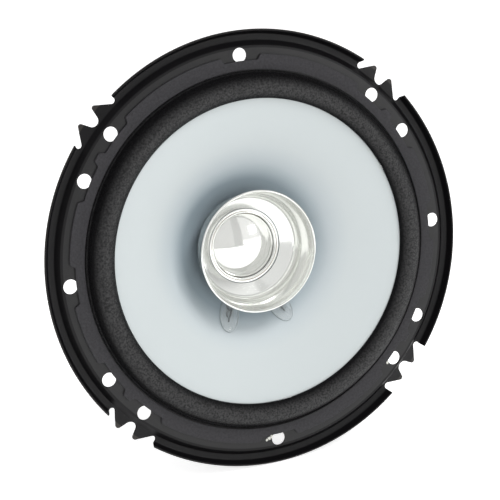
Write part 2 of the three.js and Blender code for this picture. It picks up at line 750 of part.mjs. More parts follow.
// Bare coil end, laid on the cone's front from its neck to the glue drop.
function coilLead(side) {
  const points = COIL_LEAD_RADII.map((r) => {
    const [x, z] = onRing(r, -DROP_ANGLE);
    return [side * x, coneFront(r) - COIL_LEAD_R - CONE_GAP, z];
  });
  return wire(points, COIL_LEAD_R, 6);
}

// Clear glue over the joint of coil lead and tinsel lead: a long drop that lies along the cone.
function glueDrop(side) {
  const [inner, outer] = [DROP_RING_R - DROP_HALF_LENGTH, DROP_RING_R + DROP_HALF_LENGTH];
  const slope = Math.atan2(coneFront(inner) - coneFront(outer), outer - inner);
  const geometry = new THREE.SphereGeometry(1, HOLE_FACETS, WIRE_FACETS);
  geometry.scale(DROP_HALF_LENGTH, DROP_HALF_HEIGHT, DROP_HALF_WIDTH);
  geometry.rotateZ(-slope);
  geometry.translate(DROP_RING_R, coneFront(DROP_RING_R) - DROP_HALF_HEIGHT - CONE_GAP, 0);
  return solid(turnedTo(geometry, side > 0 ? -DROP_ANGLE : DROP_ANGLE - 180));
}

for (const [word, side] of [['left', -1], ['right', 1]]) {
  piece(`tinsel_lead_${word}`, tinselLead(side), tinsel);
  piece(`coil_lead_${word}`, coilLead(side), copper);
  piece(`glue_drop_${word}`, glueDrop(side), clearGlue);
}

// ----------------------------------------------------------------------------------------------- tweeter

// A shallow cap out to the clamp ring. The coil hangs from it part of the way out.
function tweeterDome() {
  const cap = [];
  const rise = DOME_EDGE_Y - DOME_APEX_Y;
  const sphere = (DOME_EDGE_R ** 2 + rise ** 2) / (2 * rise);
  const opening = Math.asin(DOME_EDGE_R / sphere);
  for (let i = 0; i <= DOME_STEPS; i += 1) {
    const angle = opening * (1 - i / DOME_STEPS);
    cap.push([sphere * Math.sin(angle), DOME_APEX_Y + sphere * (1 - Math.cos(angle))]);
  }
  cap[DOME_STEPS][0] = 0;
  return turned(sheetOutline(cap, DOME_T));
}

piece('tweeter_horn', turned(sheetOutline(HORN_PROFILE, HORN_T), MIDDLE_FACETS), chrome);
piece('tweeter_clamp_ring', ring(CLAMP_IN_R, CLAMP_OUT_R, CLAMP_Y, CLAMP_Y + CLAMP_T), chrome);
piece('tweeter_dome', tweeterDome(), domeFilm);
piece(
  'tweeter_voice_coil',
  ring(TWEETER_COIL.inner, TWEETER_COIL.outer, TWEETER_COIL.front, TWEETER_COIL.rear),
  copper,
);
piece('tweeter_pole_plate', disc(TWEETER_POLE_R, TWEETER_POLE_Y, TWEETER_MAGNET_Y), zincSteel);
piece('tweeter_magnet', disc(TWEETER_MAGNET_R, TWEETER_MAGNET_Y, TWEETER_FLOOR_Y), zincSteel);
piece('tweeter_yoke', turned([
  [0, TWEETER_FLOOR_Y],
  [TWEETER_GAP_R, TWEETER_FLOOR_Y],
  [TWEETER_GAP_R, TWEETER_RECESS_Y],
  [CLAMP_IN_R, TWEETER_RECESS_Y],
  [CLAMP_IN_R, TWEETER_YOKE_Y],
  [TWEETER_FLANGE_R, TWEETER_YOKE_Y],
  [TWEETER_FLANGE_R, TWEETER_FLANGE_EDGE_Y],
  [TWEETER_FLANGE_FLAT_R, TWEETER_FLANGE_REAR_Y],
  [TWEETER_CUP_R, TWEETER_FLANGE_REAR_Y],
  [TWEETER_CUP_R, TWEETER_REAR_Y],
  [0, TWEETER_REAR_Y],
]), zincSteel);
piece('tweeter_post', ring(POLE_BORE_R, POST_R, TWEETER_REAR_Y, TOP_PLATE_Y), blackPlastic);
piece('tweeter_stud', ring(STUD_BORE_R, STUD_R, TWEETER_REAR_Y, STUD_REAR_Y), zincSteel);
piece('tweeter_washer', ring(POLE_BORE_R, WASHER_R, BACK_Y, BACK_Y + WASHER_T), zincSteel);

function tweeterNut() {
  const corners = [];
  for (let i = 0; i < 6; i += 1) corners.push(new THREE.Vector2(...onRing(NUT_ACROSS_CORNERS_R, i * 60)));
  const shape = new THREE.Shape(corners);
  const front = BACK_Y + WASHER_T;
  return solid(plate(shape, front, front + NUT_T)).subtract(
    rod(0, 0, POLE_BORE_R, front - PAST, front + NUT_T + PAST, SMALL_FACETS),
  );
}

piece('tweeter_nut', tweeterNut(), zincSteel);

// Insulated wires from the tweeter through the hollow stud, down the back of the motor and up to the
// terminal board: the positive one to the capacitor, the negative one past it to the narrow spade.
function tweeterWire(x, ending) {
  return wire([
    [x, TWEETER_REAR_Y + 0.6, 0],
    [x, 40, 0],
    [x, 54, 0],
    [x, 57.6, -1],
    [x, 58, -4],
    [x, 56.6, -8],
    [x, 52, -13],
    [x, BACK_Y + WIRE_R + 0.3, -17],
    [x, BACK_Y + WIRE_R + 0.3, -34],
    [x, BACK_Y, -37.5],
    [x, 46, -39.3],
    ...ending,
  ], WIRE_R, 30);
}

piece('tweeter_wire_negative', tweeterWire(-WIRE_X, [
  [-2.2, 40, -39.4],
  [-6, 35.8, -41],
  [-11, 32.4, -45],
  [-12.8, 29.6, -50.5],
  [-11, 28.3, -55.5],
  [-7.4, 28, -57.8],
]), blackWire);
piece('tweeter_wire_positive', tweeterWire(WIRE_X, [
  [0.6, 40, -39.4],
  [-3, 36, -41.6],
  [-7.4, 33.2, -44.2],
  [-9, 32, -46.6],
]), redWire);

export default group;
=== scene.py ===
"""Coaxial car speaker: the looks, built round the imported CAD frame.

Profiles are lists of (radius, Y) in millimetres, turned about the speaker's axis, the frame's Y axis.
The speaker faces -Y. Shapes are drawn in millimetres, and new_object() turns them into metres.
"""

from math import acos, asin, atan2, cos, hypot, pi, radians, sin, tan

import bmesh
import bpy
import numpy as np
from mathutils import Matrix, Quaternion, Vector


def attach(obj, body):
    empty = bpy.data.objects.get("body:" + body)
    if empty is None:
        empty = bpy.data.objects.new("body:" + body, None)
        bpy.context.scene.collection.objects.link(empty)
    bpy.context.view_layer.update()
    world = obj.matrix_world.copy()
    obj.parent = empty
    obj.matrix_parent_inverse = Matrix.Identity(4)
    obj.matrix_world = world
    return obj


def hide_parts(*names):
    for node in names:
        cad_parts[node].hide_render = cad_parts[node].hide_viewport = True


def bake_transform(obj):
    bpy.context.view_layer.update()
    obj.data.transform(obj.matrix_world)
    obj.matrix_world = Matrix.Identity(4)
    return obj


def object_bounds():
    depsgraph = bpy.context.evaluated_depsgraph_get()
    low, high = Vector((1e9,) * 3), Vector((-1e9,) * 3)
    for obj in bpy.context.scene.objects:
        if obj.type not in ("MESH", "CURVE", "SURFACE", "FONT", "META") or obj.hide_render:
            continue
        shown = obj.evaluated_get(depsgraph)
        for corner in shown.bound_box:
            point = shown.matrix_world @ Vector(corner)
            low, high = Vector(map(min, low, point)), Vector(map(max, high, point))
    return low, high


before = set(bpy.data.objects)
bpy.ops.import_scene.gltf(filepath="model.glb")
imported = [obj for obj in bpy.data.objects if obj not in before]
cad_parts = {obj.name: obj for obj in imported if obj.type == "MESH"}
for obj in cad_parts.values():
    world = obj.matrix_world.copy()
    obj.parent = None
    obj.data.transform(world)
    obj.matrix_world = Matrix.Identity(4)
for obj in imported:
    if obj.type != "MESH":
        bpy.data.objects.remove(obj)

CAD_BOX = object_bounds()
SCENE = bpy.context.scene

# ---- dimensions, mm

SHEET = 0.8
LIP = (82.1, -3.8)
CHANNEL_OUT_R = 81.0
CHANNEL_IN_R = 78.6
CHANNEL_Y = -0.8
STEP_R = 76.8
FLANGE_Y = -3.2
FLANGE_IN_R = 66.8
SHOULDER = (65.2, 3.0)
WALL_TOP = (62.8, 5.0)
WALL_FOOT = (45.5, 20.8)
LEDGE_Y = 23.0
LEDGE_OUT_R = 43.5
LEDGE_IN_R = 37.0
SEAT_WALL_TOP = (34.8, 25.0)
SEAT_WALL_FOOT = (32.6, 29.8)
SEAT_Y = 31.25
SEAT_OUT_R = 31.0
SEAT_IN_R = 17.0

HOLE_R = 2.7
HOLE_RING_R = 73.6
HOLE_ANGLES = (0, 30, 45, 90, 135, 150, 180, 210, 225, 270, 315, 330)
PAINTED_GLINTS = (  # radius, angle and half width of each pale spot painted on the flange as a highlight
    (71.9, 268.7, 0.8), (72.4, 267.9, 0.75), (72.9, 267.0, 0.65), (73.4, 266.2, 0.5), (72.4, 312.6, 0.6),
)

ZONE_ANGLES = (45, 135, 225, 315)
ZONE_HALF_WIDTH = 11.2
LIPPED_FROM = 7.64
TOOTHED_TO = 7.1
TOOTH_TIP = (84.6, 0.35)
TIP_ARC = (82.95, 4.14, 1.0)  # outwards, across and radius, in a zone's own axes
MIDDLE_ARC = (81.1, 0.0, 2.3)
SIDE_ARC = (79.9, 9.95, 1.25)

WINDOW_FRONT_Y = 5.5
WINDOW_REAR_Y = 20.4
WINDOW_FRONT_HALF = 27.0
WINDOW_REAR_HALF = 22.0
WINDOW_CORNER = 3.0
VENT_R = 3.0
VENT_RING_R = 33.6
VENT_Y = (27.3, 27.9)
RIB_HALF_ANGLE = 7.0
RIB_HEIGHT = 1.3
RIB_PUSH = (0.67, 0.74)
TAB = (13, -57, -39)

GASKET_IN_R = 68.0
GASKET_OUT_R = 73.6
GASKET_RECESS_R = 71.5
GASKET_RECESS_HALF = 6.6
GASKET_RAMP = 1.6
GASKET_T = 0.9

CONE_T = 0.6
CONE_EDGE = (57.8, -5.7)
CONE_BEND = (23.7, 7.43)
CONE_NECK = (13.2, 19.5)

SURROUND_T = 0.55
SURROUND_IN = (57.6, -6.35)
SURROUND_OUT_R = 67.7
SURROUND_FOOT_R = 67.0
ROLL_HANDLES = ((66.4, -10.5), (58.9, -10.1))
SURROUND_BLEND = (65.8, 58.9)
SURROUND_SECTORS = 16

SPIDER_T = 0.6
SPIDER_IN_R = 13.2
SPIDER_OUT_R = 42.5
SPIDER_FLAT_R = 37.0
SPIDER_WAVES = 3
SPIDER_WAVE = 1.35
SPIDER_COLLAR = 1.8
SPIDER_BLEND = (35.4, 15.2)
SPIDER_SECTORS = 12

TOP_PLATE_Y = SEAT_Y + SHEET
MAGNET_Y = TOP_PLATE_Y + 4
BACK_PLATE_Y = MAGNET_Y + 10
BACK_Y = BACK_PLATE_Y + 4
PLATE_IN_R = 13.8
PLATE_OUT_R = 35.5
GROOVE_R = 27.9
MAGNET_OUT_R = 38.0
MAGNET_IN_R = 19.0
POLE_R = 12.0
POLE_BORE_R = 3.8
RIVET_RING_R = 25.0
RIVET_HOLE_R = 2.1
RIVET_LENGTH = 3
MOTOR_RIVET = (3.2, 1.2, 1.8)  # head radius, head thickness, shank radius
BOARD_EYELET = (2.4, 0.8, 1.3)

BOARD_Y = LEDGE_Y + SHEET
BOARD_T = 1.6
SPADE_Y = BOARD_Y + BOARD_T
SPADE_T = 0.8
SPADE_X = 6.0
SPADE_Z = (-46, -66.5, -68)  # top, shoulder and tip
SPADE_HOLE = (0.6, -64.5)
WIDE_SPADE = 4.8
NARROW_SPADE = 2.8
BOARD = (15, -60.5, -45)
BOARD_RIVET = (11.5, -51.0)
BOARD_RIVET_HOLE_R = 1.6
LEAD_HOLE_R = 1.2
LEAD_HOLE_Z = -48.4

CAPACITOR_R = 4.2
CAPACITOR_HALF = 7.0
CAPACITOR_Y = 31.6
CAPACITOR_Z = -52.0
THIN_WIRE_R = 0.4

TINSEL_R = 0.6
COIL_LEAD_R = 0.3
COIL_LEAD_RADII = (15.6, 16.8, 18, 19.2)
LEAD_GAP = 0.35
LANDING = (12.4, -31.6)
DROP_ANGLE = 67.1
DROP_RING_R = 26.8
DROP_HALF_LENGTH = 6.3
DROP_HALF_WIDTH = 4.0
DROP_HEIGHT = 1.9
DROP_GAP = 0.04
DROP_EDGE_R = 0.12
STRAND_R = 0.3
STRAND_LIFT = 0.85
STRANDS = {  # along and across the drop
    "lead_joint": (
        (-4.8, -0.9), (-3.4, -0.2), (-2.2, 1), (-1.6, 0.2), (-2.6, -0.8), (-1, -0.6), (1.2, 0.1), (2.6, 0.3),
    ),
    "lead_strand": ((-4.6, 1.1), (-3, 1.4), (-1.8, 0.5), (-0.4, 1.2), (1, 0.9)),
}

HORN_T = 0.7
DOME_EDGE = (12.3, 12.86)
DOME_APEX_Y = 10.05
DOME_T = 0.3
TWEETER_REAR_Y = 21.6
POST_R = 5.5
STUD_BORE_R = 2.3
STUD_R = 3.5
STUD_REAR_Y = 56.5
THREAD_FROM_Y = 48
THREAD_ROOT_R = 3.05
THREAD_PITCH = 0.8
WASHER_R = 6.8
WASHER_REAR_Y = BACK_Y + 1
NUT_R = 5.8
NUT_REAR_Y = BACK_Y + 4.5
WIRE_R = 0.7
WIRE_X = 0.95

SEGMENTS = 256
SIDES = (("left", -1), ("right", 1))

# ---- camera and room

CAMERA_AT = (-0.2061, -0.5210, 0.1186)
CAMERA_AZIMUTH = -21.34
CAMERA_ELEVATION = 11.91
CAMERA_ROLL = -5.89
CAMERA_LENS = 109.6

LIGHTS = {  # place, width and height, power, and whether shiny surfaces mirror it
    "key_light": ((0.5, -0.9, 1.0), (0.7, 0.5), 15, False),
    "fill_light": ((-0.9, -0.7, 0.5), (0.6, 0.8), 3, False),
    "glint_light": ((0.68, -0.92, 0.22), (0.22, 0.22), 1.2, True),
}
SPAN_SOCKETS = ("From Min", "From Max", "To Min", "To Max")
WORLD_FADE = (0.1, 0.75, 0.14, 1.05)  # depth of direction from and to, strength from and to
FLOOR_HALF = 6.0
FLOOR_GAP = 0.0004
FLOOR_GLOW = 0.6
CARD_Y = -0.55
CARD_TOP = 0.61
CARDS = (("light_card", -0.55, 0.019, 0.84), ("grey_card", 0.019, 0.163, 0.68))  # left, right, glow
SEAM_HALF = 1
SEAM_WIDTH = 0.10
SEAM_GLOW = 0.60
SEAM_LIFT = 0.0005


def add(name, data):
    made = bpy.data.objects.new(name, data)
    SCENE.collection.objects.link(made)
    return made


def make_camera():
    azimuth, elevation = radians(CAMERA_AZIMUTH), radians(CAMERA_ELEVATION)
    back = Vector((
        sin(azimuth) * cos(elevation),
        -cos(azimuth) * cos(elevation),
        sin(elevation),
    ))
    camera = add("camera", bpy.data.cameras.new("camera"))
    camera.data.lens = CAMERA_LENS
    camera.data.clip_start = 0.01
    camera.rotation_mode = "QUATERNION"
    camera.location = CAMERA_AT
    roll = Quaternion((0, 0, 1), radians(CAMERA_ROLL))
    camera.rotation_quaternion = (-back).to_track_quat("-Z", "Y") @ roll
    SCENE.camera = camera


def make_lights():
    for name, (at, size, power, glossy) in LIGHTS.items():
        light = bpy.data.lights.new(name, "AREA")
        light.shape = "RECTANGLE"
        light.size, light.size_y = size
        light.energy = power
        holder = add(name, light)
        holder.location = at
        holder.rotation_mode = "QUATERNION"
        holder.rotation_quaternion = (-Vector(at)).to_track_quat("-Z", "Y")
        holder.visible_glossy = glossy


def make_world():
    """Bright in front and behind, dim to the sides, and white where the camera sees it."""
    world = bpy.data.worlds.new("room")
    SCENE.world = world
    world.use_nodes = True
    nodes, links = world.node_tree.nodes, world.node_tree.links
    light = nodes["Background"]
    backdrop = nodes.new("ShaderNodeBackground")
    direction = nodes.new("ShaderNodeSeparateXYZ")
    links.new(nodes.new("ShaderNodeTexCoord").outputs["Generated"], direction.inputs["Vector"])
    depth = nodes.new("ShaderNodeMath")
    depth.operation = "ABSOLUTE"
    links.new(direction.outputs["Y"], depth.inputs[0])
    fade = nodes.new("ShaderNodeMapRange")
    fade.interpolation_type = "SMOOTHSTEP"
    for socket, value in zip(SPAN_SOCKETS, WORLD_FADE):
        fade.inputs[socket].default_value = value
    links.new(depth.outputs["Value"], fade.inputs["Value"])
    links.new(fade.outputs["Result"], light.inputs["Strength"])
    mix = nodes.new("ShaderNodeMixShader")
    links.new(nodes.new("ShaderNodeLightPath").outputs["Is Camera Ray"], mix.inputs["Fac"])
    links.new(light.outputs["Background"], mix.inputs[1])
    links.new(backdrop.outputs["Background"], mix.inputs[2])
    links.new(mix.outputs["Shader"], nodes["World Output"].inputs["Surface"])
    for background in (light, backdrop):
        background.inputs["Color"].default_value = (1, 1, 1, 1)


def sheet(name, low, high, look, glossy_only=False):
    """A flat sheet of the studio between two opposite corners, in metres."""
    corners = [low, (high[0], *low[1:]), high, (low[0], *high[1:])]
    mesh = bpy.data.meshes.new(name)
    mesh.from_pydata(corners, [], [(0, 1, 2, 3)])
    mesh.materials.append(look)
    holder = add(name, mesh)
    if glossy_only:
        holder.visible_camera = False
        holder.visible_diffuse = False
        holder.visible_shadow = False
        holder.visible_transmission = False


def paper(name, color, glow):
    """Matt studio paper with a faint light of its own."""
    made = bpy.data.materials.new(name)
    made.use_nodes = True
    shader = made.node_tree.nodes["Principled BSDF"]
    shader.inputs["Base Color"].default_value = (color, color, color, 1)
    shader.inputs["Roughness"].default_value = 0.9
    shader.inputs["Emission Color"].default_value = (1, 1, 1, 1)
    shader.inputs["Emission Strength"].default_value = glow
    return made


def make_room():
    """A white floor, and grey cards that only show as reflections."""
    z = CAD_BOX[0].z - FLOOR_GAP
    white = paper("pale_floor", 0.9, FLOOR_GLOW)
    sheet("floor", (-FLOOR_HALF, -FLOOR_HALF, z), (FLOOR_HALF, FLOOR_HALF, z), white)
    for name, left, right, glow in CARDS:
        sheet(name, (left, CARD_Y, z), (right, CARD_Y, CARD_TOP), paper(name, 0.0, glow), True)
    z += SEAM_LIFT
    seam = paper("card_edge", 0.0, SEAM_GLOW)
    sheet("card_seam", (-SEAM_HALF, CARD_Y, z), (SEAM_HALF, CARD_Y + SEAM_WIDTH, z), seam, True)


def on_ring(radius, degrees):
    """The (x, z) at a radius and an angle from +X towards +Z."""
    return radius * cos(radians(degrees)), radius * sin(radians(degrees))


SCENE.view_settings.view_transform = "Standard"
make_camera()
make_lights()
make_world()
make_room()

# ---- materials


class Look:
    """A material whose colour, roughness and relief come from textures in object space."""

    def __init__(self, name, color, roughness, metallic=0.0):
        self.name = name
        self.material = bpy.data.materials.new(name)
        self.material.use_nodes = True
        self.tree = self.material.node_tree
        self.shader = self.tree.nodes["Principled BSDF"]
        self.color = color
        self.set("Base Color", (*color, 1))
        self.set("Roughness", roughness)
        self.set("Metallic", metallic)
        self.coordinates = self.node("ShaderNodeTexCoord").outputs["Object"]

    def node(self, kind, **settings):
        made = self.tree.nodes.new(kind)
        for key, value in settings.items():
            setattr(made, key, value)
        return made

    def set(self, socket, value):
        self.shader.inputs[socket].default_value = value

    def link(self, a, b):
        self.tree.links.new(a, b)

    def noise(self, grain, detail=3.0, stretch=(1, 1, 1), roughness=0.55):
        """Noise of about grain mm, drawn out along an axis by a stretch under 1."""
        mapping = self.node("ShaderNodeMapping")
        mapping.inputs["Scale"].default_value = stretch
        self.link(self.coordinates, mapping.inputs["Vector"])
        texture = self.node("ShaderNodeTexNoise")
        texture.inputs["Scale"].default_value = 1000 / grain
        texture.inputs["Detail"].default_value = detail
        texture.inputs["Roughness"].default_value = roughness
        self.link(mapping.outputs["Vector"], texture.inputs["Vector"])
        return texture.outputs["Fac"]

    def vector(self, operation, value, other=(0, 0, 0)):
        made = self.node("ShaderNodeVectorMath", operation=operation)
        made.inputs[1].default_value = other
        self.link(value, made.inputs[0])
        return made.outputs["Value" if operation == "LENGTH" else "Vector"]

    def radius(self):
        """Distance from the speaker's axis, in metres."""
        return self.vector("LENGTH", self.vector("MULTIPLY", self.coordinates, (1, 0, 1)))

    def spot(self, x, z, half):
        """One within a ragged spot of a half width in mm, and nothing outside it."""
        offset = self.vector("SUBTRACT", self.coordinates, (x / 1000, 0, z / 1000))
        length = self.vector("LENGTH", self.vector("MULTIPLY", offset, (1000 / half, 0, 1000 / half)))
        ragged = self.math("ADD", length, self.span(self.noise(0.8), 0.3, 0.7, -0.4, 0.4))
        return self.span(ragged, 0.8, 1.1, 1, 0)

    def flatness(self):
        """One where the surface faces along the speaker's axis, nothing where it is a wall."""
        parts = self.node("ShaderNodeSeparateXYZ")
        self.link(self.node("ShaderNodeTexCoord").outputs["Normal"], parts.inputs["Vector"])
        return self.math("ABSOLUTE", parts.outputs["Y"])

    def math(self, operation, *values):
        made = self.node("ShaderNodeMath", operation=operation)
        for value, socket in zip(values, made.inputs):
            self.link(value, socket)
        return made.outputs["Value"]

    def rings(self, pitch):
        """Turning marks: noise that changes only with the radius, pitch mm apart."""
        texture = self.node("ShaderNodeTexNoise", noise_dimensions="1D")
        texture.inputs["Scale"].default_value = 1000 / pitch
        self.link(self.radius(), texture.inputs["W"])
        return texture.outputs["Fac"]

    def wave(self, direction, scale):
        texture = self.node("ShaderNodeTexWave", bands_direction=direction)
        texture.inputs["Scale"].default_value = scale
        self.link(self.coordinates, texture.inputs["Vector"])
        return texture.outputs["Fac"]

    def ramp(self, value, stops):
        """A colour ramp over a value: stops are (place, colour or grey)."""
        ramp = self.node("ShaderNodeValToRGB")
        elements = ramp.color_ramp.elements
        while len(elements) < len(stops):
            elements.new(0.5)
        for element, (place, color) in zip(elements, stops):
            element.position = place
            element.color = (*color, 1) if isinstance(color, tuple) else (color, color, color, 1)
        self.link(value, ramp.inputs["Fac"])
        return ramp.outputs["Color"]

    def span(self, value, low, high, to_low, to_high):
        mapped = self.node("ShaderNodeMapRange")
        for socket, number in zip(SPAN_SOCKETS, (low, high, to_low, to_high)):
            mapped.inputs[socket].default_value = number
        self.link(value, mapped.inputs["Value"])
        return mapped.outputs["Result"]

    def shade(self, value, amount, low=0.3, high=0.7):
        """Varies the base colour by a share of itself as value goes from low to high."""
        ends = ((low, 1 - amount), (high, 1 + amount))
        stops = [(place, tuple(c * share for c in self.color)) for place, share in ends]
        self.link(self.ramp(value, stops), self.shader.inputs["Base Color"])

    def vary_roughness(self, value, low, high):
        self.link(self.span(value, 0.3, 0.7, low, high), self.shader.inputs["Roughness"])

    def relief(self, value, height, strength=1.0):
        """Bump of a height in mm. Calls add up."""
        bump = self.node("ShaderNodeBump")
        bump.inputs["Distance"].default_value = height / 1000
        bump.inputs["Strength"].default_value = strength
        self.link(value, bump.inputs["Height"])
        normal = self.shader.inputs["Normal"]
        if normal.is_linked:
            self.link(normal.links[0].from_socket, bump.inputs["Normal"])
        self.link(bump.outputs["Normal"], normal)


PAINT = (0.0033, 0.0031, 0.0035)
STEEL_TONES = ((0.0, (0.011, 0.011, 0.0117)), (0.1, PAINT), (0.985, PAINT), (1.0, (0.0095, 0.0075, 0.006)))
GLINT_GREY = (0.45, 0.45, 0.41, 1)


def black_steel():
    """Black paint, glossy on the faces and most of all round the outer rim; the gloss is taken off the rim's
    walls and the groove inside the lip as painted shade, and pale spots painted on the flange stand for
    highlights.
    """
    # Specular levels: none on the rim's walls and little on the groove's floor, as painted shade there, then
    # the faces and the outer rim.
    walls, floor, faces, outside = 0.0, 0.20, 0.40, 0.85
    look = Look("black_steel", PAINT, 0.4)
    paint = look.ramp(look.span(look.radius(), 0.066, 0.0826, 0, 1), STEEL_TONES)
    # Pale spots painted on the flange as highlights.
    painted_glints = None
    for radius, angle, half in PAINTED_GLINTS:
        x, z = on_ring(radius, angle)
        spot = look.spot(x, z, half)
        painted_glints = look.math("MAXIMUM", painted_glints, spot) if painted_glints else spot
    mix = look.node("ShaderNodeMix", data_type="RGBA")
    look.link(painted_glints, mix.inputs["Factor"])
    look.link(paint, mix.inputs["A"])
    mix.inputs["B"].default_value = GLINT_GREY
    look.link(mix.outputs["Result"], look.shader.inputs["Base Color"])
    look.vary_roughness(look.noise(3.5, 4), 0.36, 0.46)
    look.relief(look.noise(0.55, 2), 0.012)
    flatness = look.flatness()
    wall_shade = look.span(flatness, 0.35, 0.85, walls, floor)
    inwards = look.span(look.radius(), 0.0759, 0.0761, faces, 0)
    beyond = look.span(look.radius(), 0.0824, 0.0826, 0, 1)
    edge = look.math("MULTIPLY", beyond, look.span(flatness, 0.3, 0.7, outside, faces))
    shine_and_shade = look.math("MAXIMUM", look.math("MAXIMUM", wall_shade, inwards), edge)
    look.link(shine_and_shade, look.shader.inputs["Specular IOR Level"])
    return look


def grained(name, color, roughness, mottle, dents=None, metallic=0.0):
    """A material mottled by (grain, detail, share) and dented by (grain, detail, height)."""
    look = Look(name, color, roughness, metallic)
    look.shade(look.noise(*mottle[:2]), mottle[2])
    if dents:
        look.relief(look.noise(*dents[:2]), dents[2])
    return look


def black_rubber():
    """Rubber with a fine grain that glints, its gloss taken off the flanks of its roll as painted shade."""
    look = Look("black_rubber", (0.0045, 0.0044, 0.0048), 0.5)
    look.shade(look.noise(0.9, 4), 0.4)
    look.vary_roughness(look.noise(0.8, 2), 0.3, 0.5)
    look.relief(look.noise(0.7, 3, roughness=0.7), 0.2)
    # Less gloss on the roll's flanks than on its crest, to paint shade on the flanks.
    crown = look.span(look.flatness(), 0.6, 1.0, 0.05, 0.40)
    grain = look.span(look.noise(0.7, 2), 0.35, 0.65, 0.55, 1.45)
    look.link(look.math("MULTIPLY", crown, grain), look.shader.inputs["Specular IOR Level"])
    return look


CONE_SHADE_TONES = (  # painted shade down the throat: share of the way out of the throat, and shares of the film's red, green and blue
    (0.0, (0.70, 0.78, 0.85)), (0.2, (0.66, 0.73, 0.80)), (0.42, (0.58, 0.65, 0.71)),
    (0.55, (0.78, 0.83, 0.88)), (0.7, (0.92, 0.94, 0.97)), (1.0, (1.0, 1.0, 1.0)),
)


def cone_film():
    """Pale satin film, with shade painted on it, darker and bluer down the cone's throat."""
    look = Look("cone_film", (0.372, 0.402, 0.406), 0.45)
    stops = [(way, tuple(c * share for c, share in zip(look.color, shares))) for way, shares in CONE_SHADE_TONES]
    # Shade painted darker and bluer towards the throat.
    throat_shade = look.ramp(look.span(look.radius(), 0.016, 0.040, 0, 1), stops)
    look.link(throat_shade, look.shader.inputs["Base Color"])
    look.vary_roughness(look.noise(8, 3), 0.42, 0.50)
    look.relief(look.noise(0.25, 2), 0.003)
    return look


def cotton_cloth():
    look = grained("cotton_cloth", (0.46, 0.30, 0.09), 0.9, (0.7, 4, 0.3))
    for direction in ("X", "Z"):
        look.relief(look.wave(direction, 380), 0.12)
    return look


def copper_wire():
    look = grained("copper_wire", (0.62, 0.24, 0.11), 0.3, (3, 2, 0.12), metallic=1.0)
    look.relief(look.wave("Y", 900), 0.06)
    return look


def zinc_steel():
    look = grained("zinc_steel", (0.60, 0.61, 0.62), 0.32, (7, 5, 0.10), metallic=1.0)
    look.vary_roughness(look.noise(2.5, 4), 0.26, 0.42)
    look.relief(look.rings(0.16), 0.006)
    return look


def phenolic():
    look = Look("phenolic", (0.16, 0.075, 0.028), 0.55)
    look.shade(look.noise(1.2, 4, (0.12, 1, 1)), 0.25)
    look.relief(look.noise(0.5, 3), 0.02)
    return look


def tinned_brass():
    look = grained("tinned_brass", (0.66, 0.64, 0.57), 0.28, (2.5, 4, 0.12), metallic=1.0)
    look.vary_roughness(look.noise(1.2, 3), 0.2, 0.4)
    return look


def tinsel():
    look = grained("tinsel", (0.50, 0.33, 0.17), 0.42, (0.5, 3, 0.3), metallic=0.9)
    look.relief(look.wave("DIAGONAL", 420), 0.12)
    return look


def clear_glue():
    """Clear where it is seen through squarely, and pale grey round its steep rim."""
    look = Look("clear_glue", (0.72, 0.77, 0.78), 0.06)
    look.relief(look.noise(3, 2), 0.05)
    facing = look.node("ShaderNodeLayerWeight").outputs["Facing"]
    look.link(look.span(facing, 0.4, 0.95, 0.16, 0.9), look.shader.inputs["Alpha"])
    return look


def chrome():
    look = grained("chrome", (0.79, 0.80, 0.775), 0.09, (12, 3, 0.01), metallic=0.92)
    look.vary_roughness(look.noise(20, 2), 0.13, 0.16)
    return look


def dome_film():
    look = Look("dome_film", (0.78, 0.785, 0.76), 0.08, 0.9)
    look.vary_roughness(look.noise(12, 2), 0.07, 0.09)
    return look


GRAINED = {  # colour, roughness, mottle, dents and metallic, as grained() takes them
    "gasket_fibre": ((0.0175, 0.0168, 0.0190), 0.85, (0.8, 5, 0.35), (0.35, 4, 0.05)),
    "former_film": ((0.16, 0.07, 0.02), 0.35, (2, 3, 0.2)),
    "ferrite": ((0.045, 0.045, 0.048), 0.62, (1.3, 6, 0.35), (0.7, 5, 0.05)),
    "capacitor_sleeve": ((0.02, 0.035, 0.13), 0.25, (4, 3, 0.15), (1.5, 2, 0.03)),
    # grey for the line of shade painted round each drop
    "drop_shade_line": ((0.22, 0.25, 0.26), 0.2, (2, 2, 0.1)),
    "glue_line": ((0.34, 0.27, 0.20), 0.4, (1, 3, 0.3)),
    "solder": ((0.04, 0.045, 0.05), 0.35, (0.6, 3, 0.4), None, 0.4),
    "black_plastic": ((0.02, 0.02, 0.021), 0.5, (3, 3, 0.15), (0.4, 2, 0.01)),
    "red_insulation": ((0.32, 0.018, 0.012), 0.4, (3, 3, 0.15), (0.4, 2, 0.01)),
    "black_insulation": ((0.014, 0.014, 0.015), 0.4, (3, 3, 0.15), (0.4, 2, 0.01)),
}
MADE = (
    black_steel(), black_rubber(), cone_film(), cotton_cloth(), copper_wire(), zinc_steel(), phenolic(),
    tinned_brass(), tinsel(), clear_glue(), chrome(), dome_film(),
    *(grained(name, *numbers) for name, numbers in GRAINED.items()),
)
LOOKS = {look.name: look.material for look in MADE}

# ---- shape helpers


def rounded(points, radii, steps=4, closed=True):
    """The outline with each corner rounded. radii is one number, or one for each corner."""
    corners = [np.array(p, float) for p in points]
    made = []
    for i, corner in enumerate(corners):
        radius = radii[i] if isinstance(radii, (list, tuple)) else radii
        if radius == 0 or (not closed and i in (0, len(corners) - 1)):
            made.append(corner)
            continue
        before = corners[i - 1] - corner
        after = corners[(i + 1) % len(corners)] - corner
        long_before, long_after = np.linalg.norm(before), np.linalg.norm(after)
        opening = acos(np.clip(before @ after / (long_before * long_after), -1, 1))
        reach = min(radius / max(tan(opening / 2), 0.05), 0.48 * long_before, 0.48 * long_after)
        start = corner + before / long_before * reach
        end = corner + after / long_after * reach
        for k in range(steps + 1):
            s = k / steps
            made.append((1 - s) ** 2 * start + 2 * s * (1 - s) * corner + s ** 2 * end)
    return [tuple(p) for p in made]


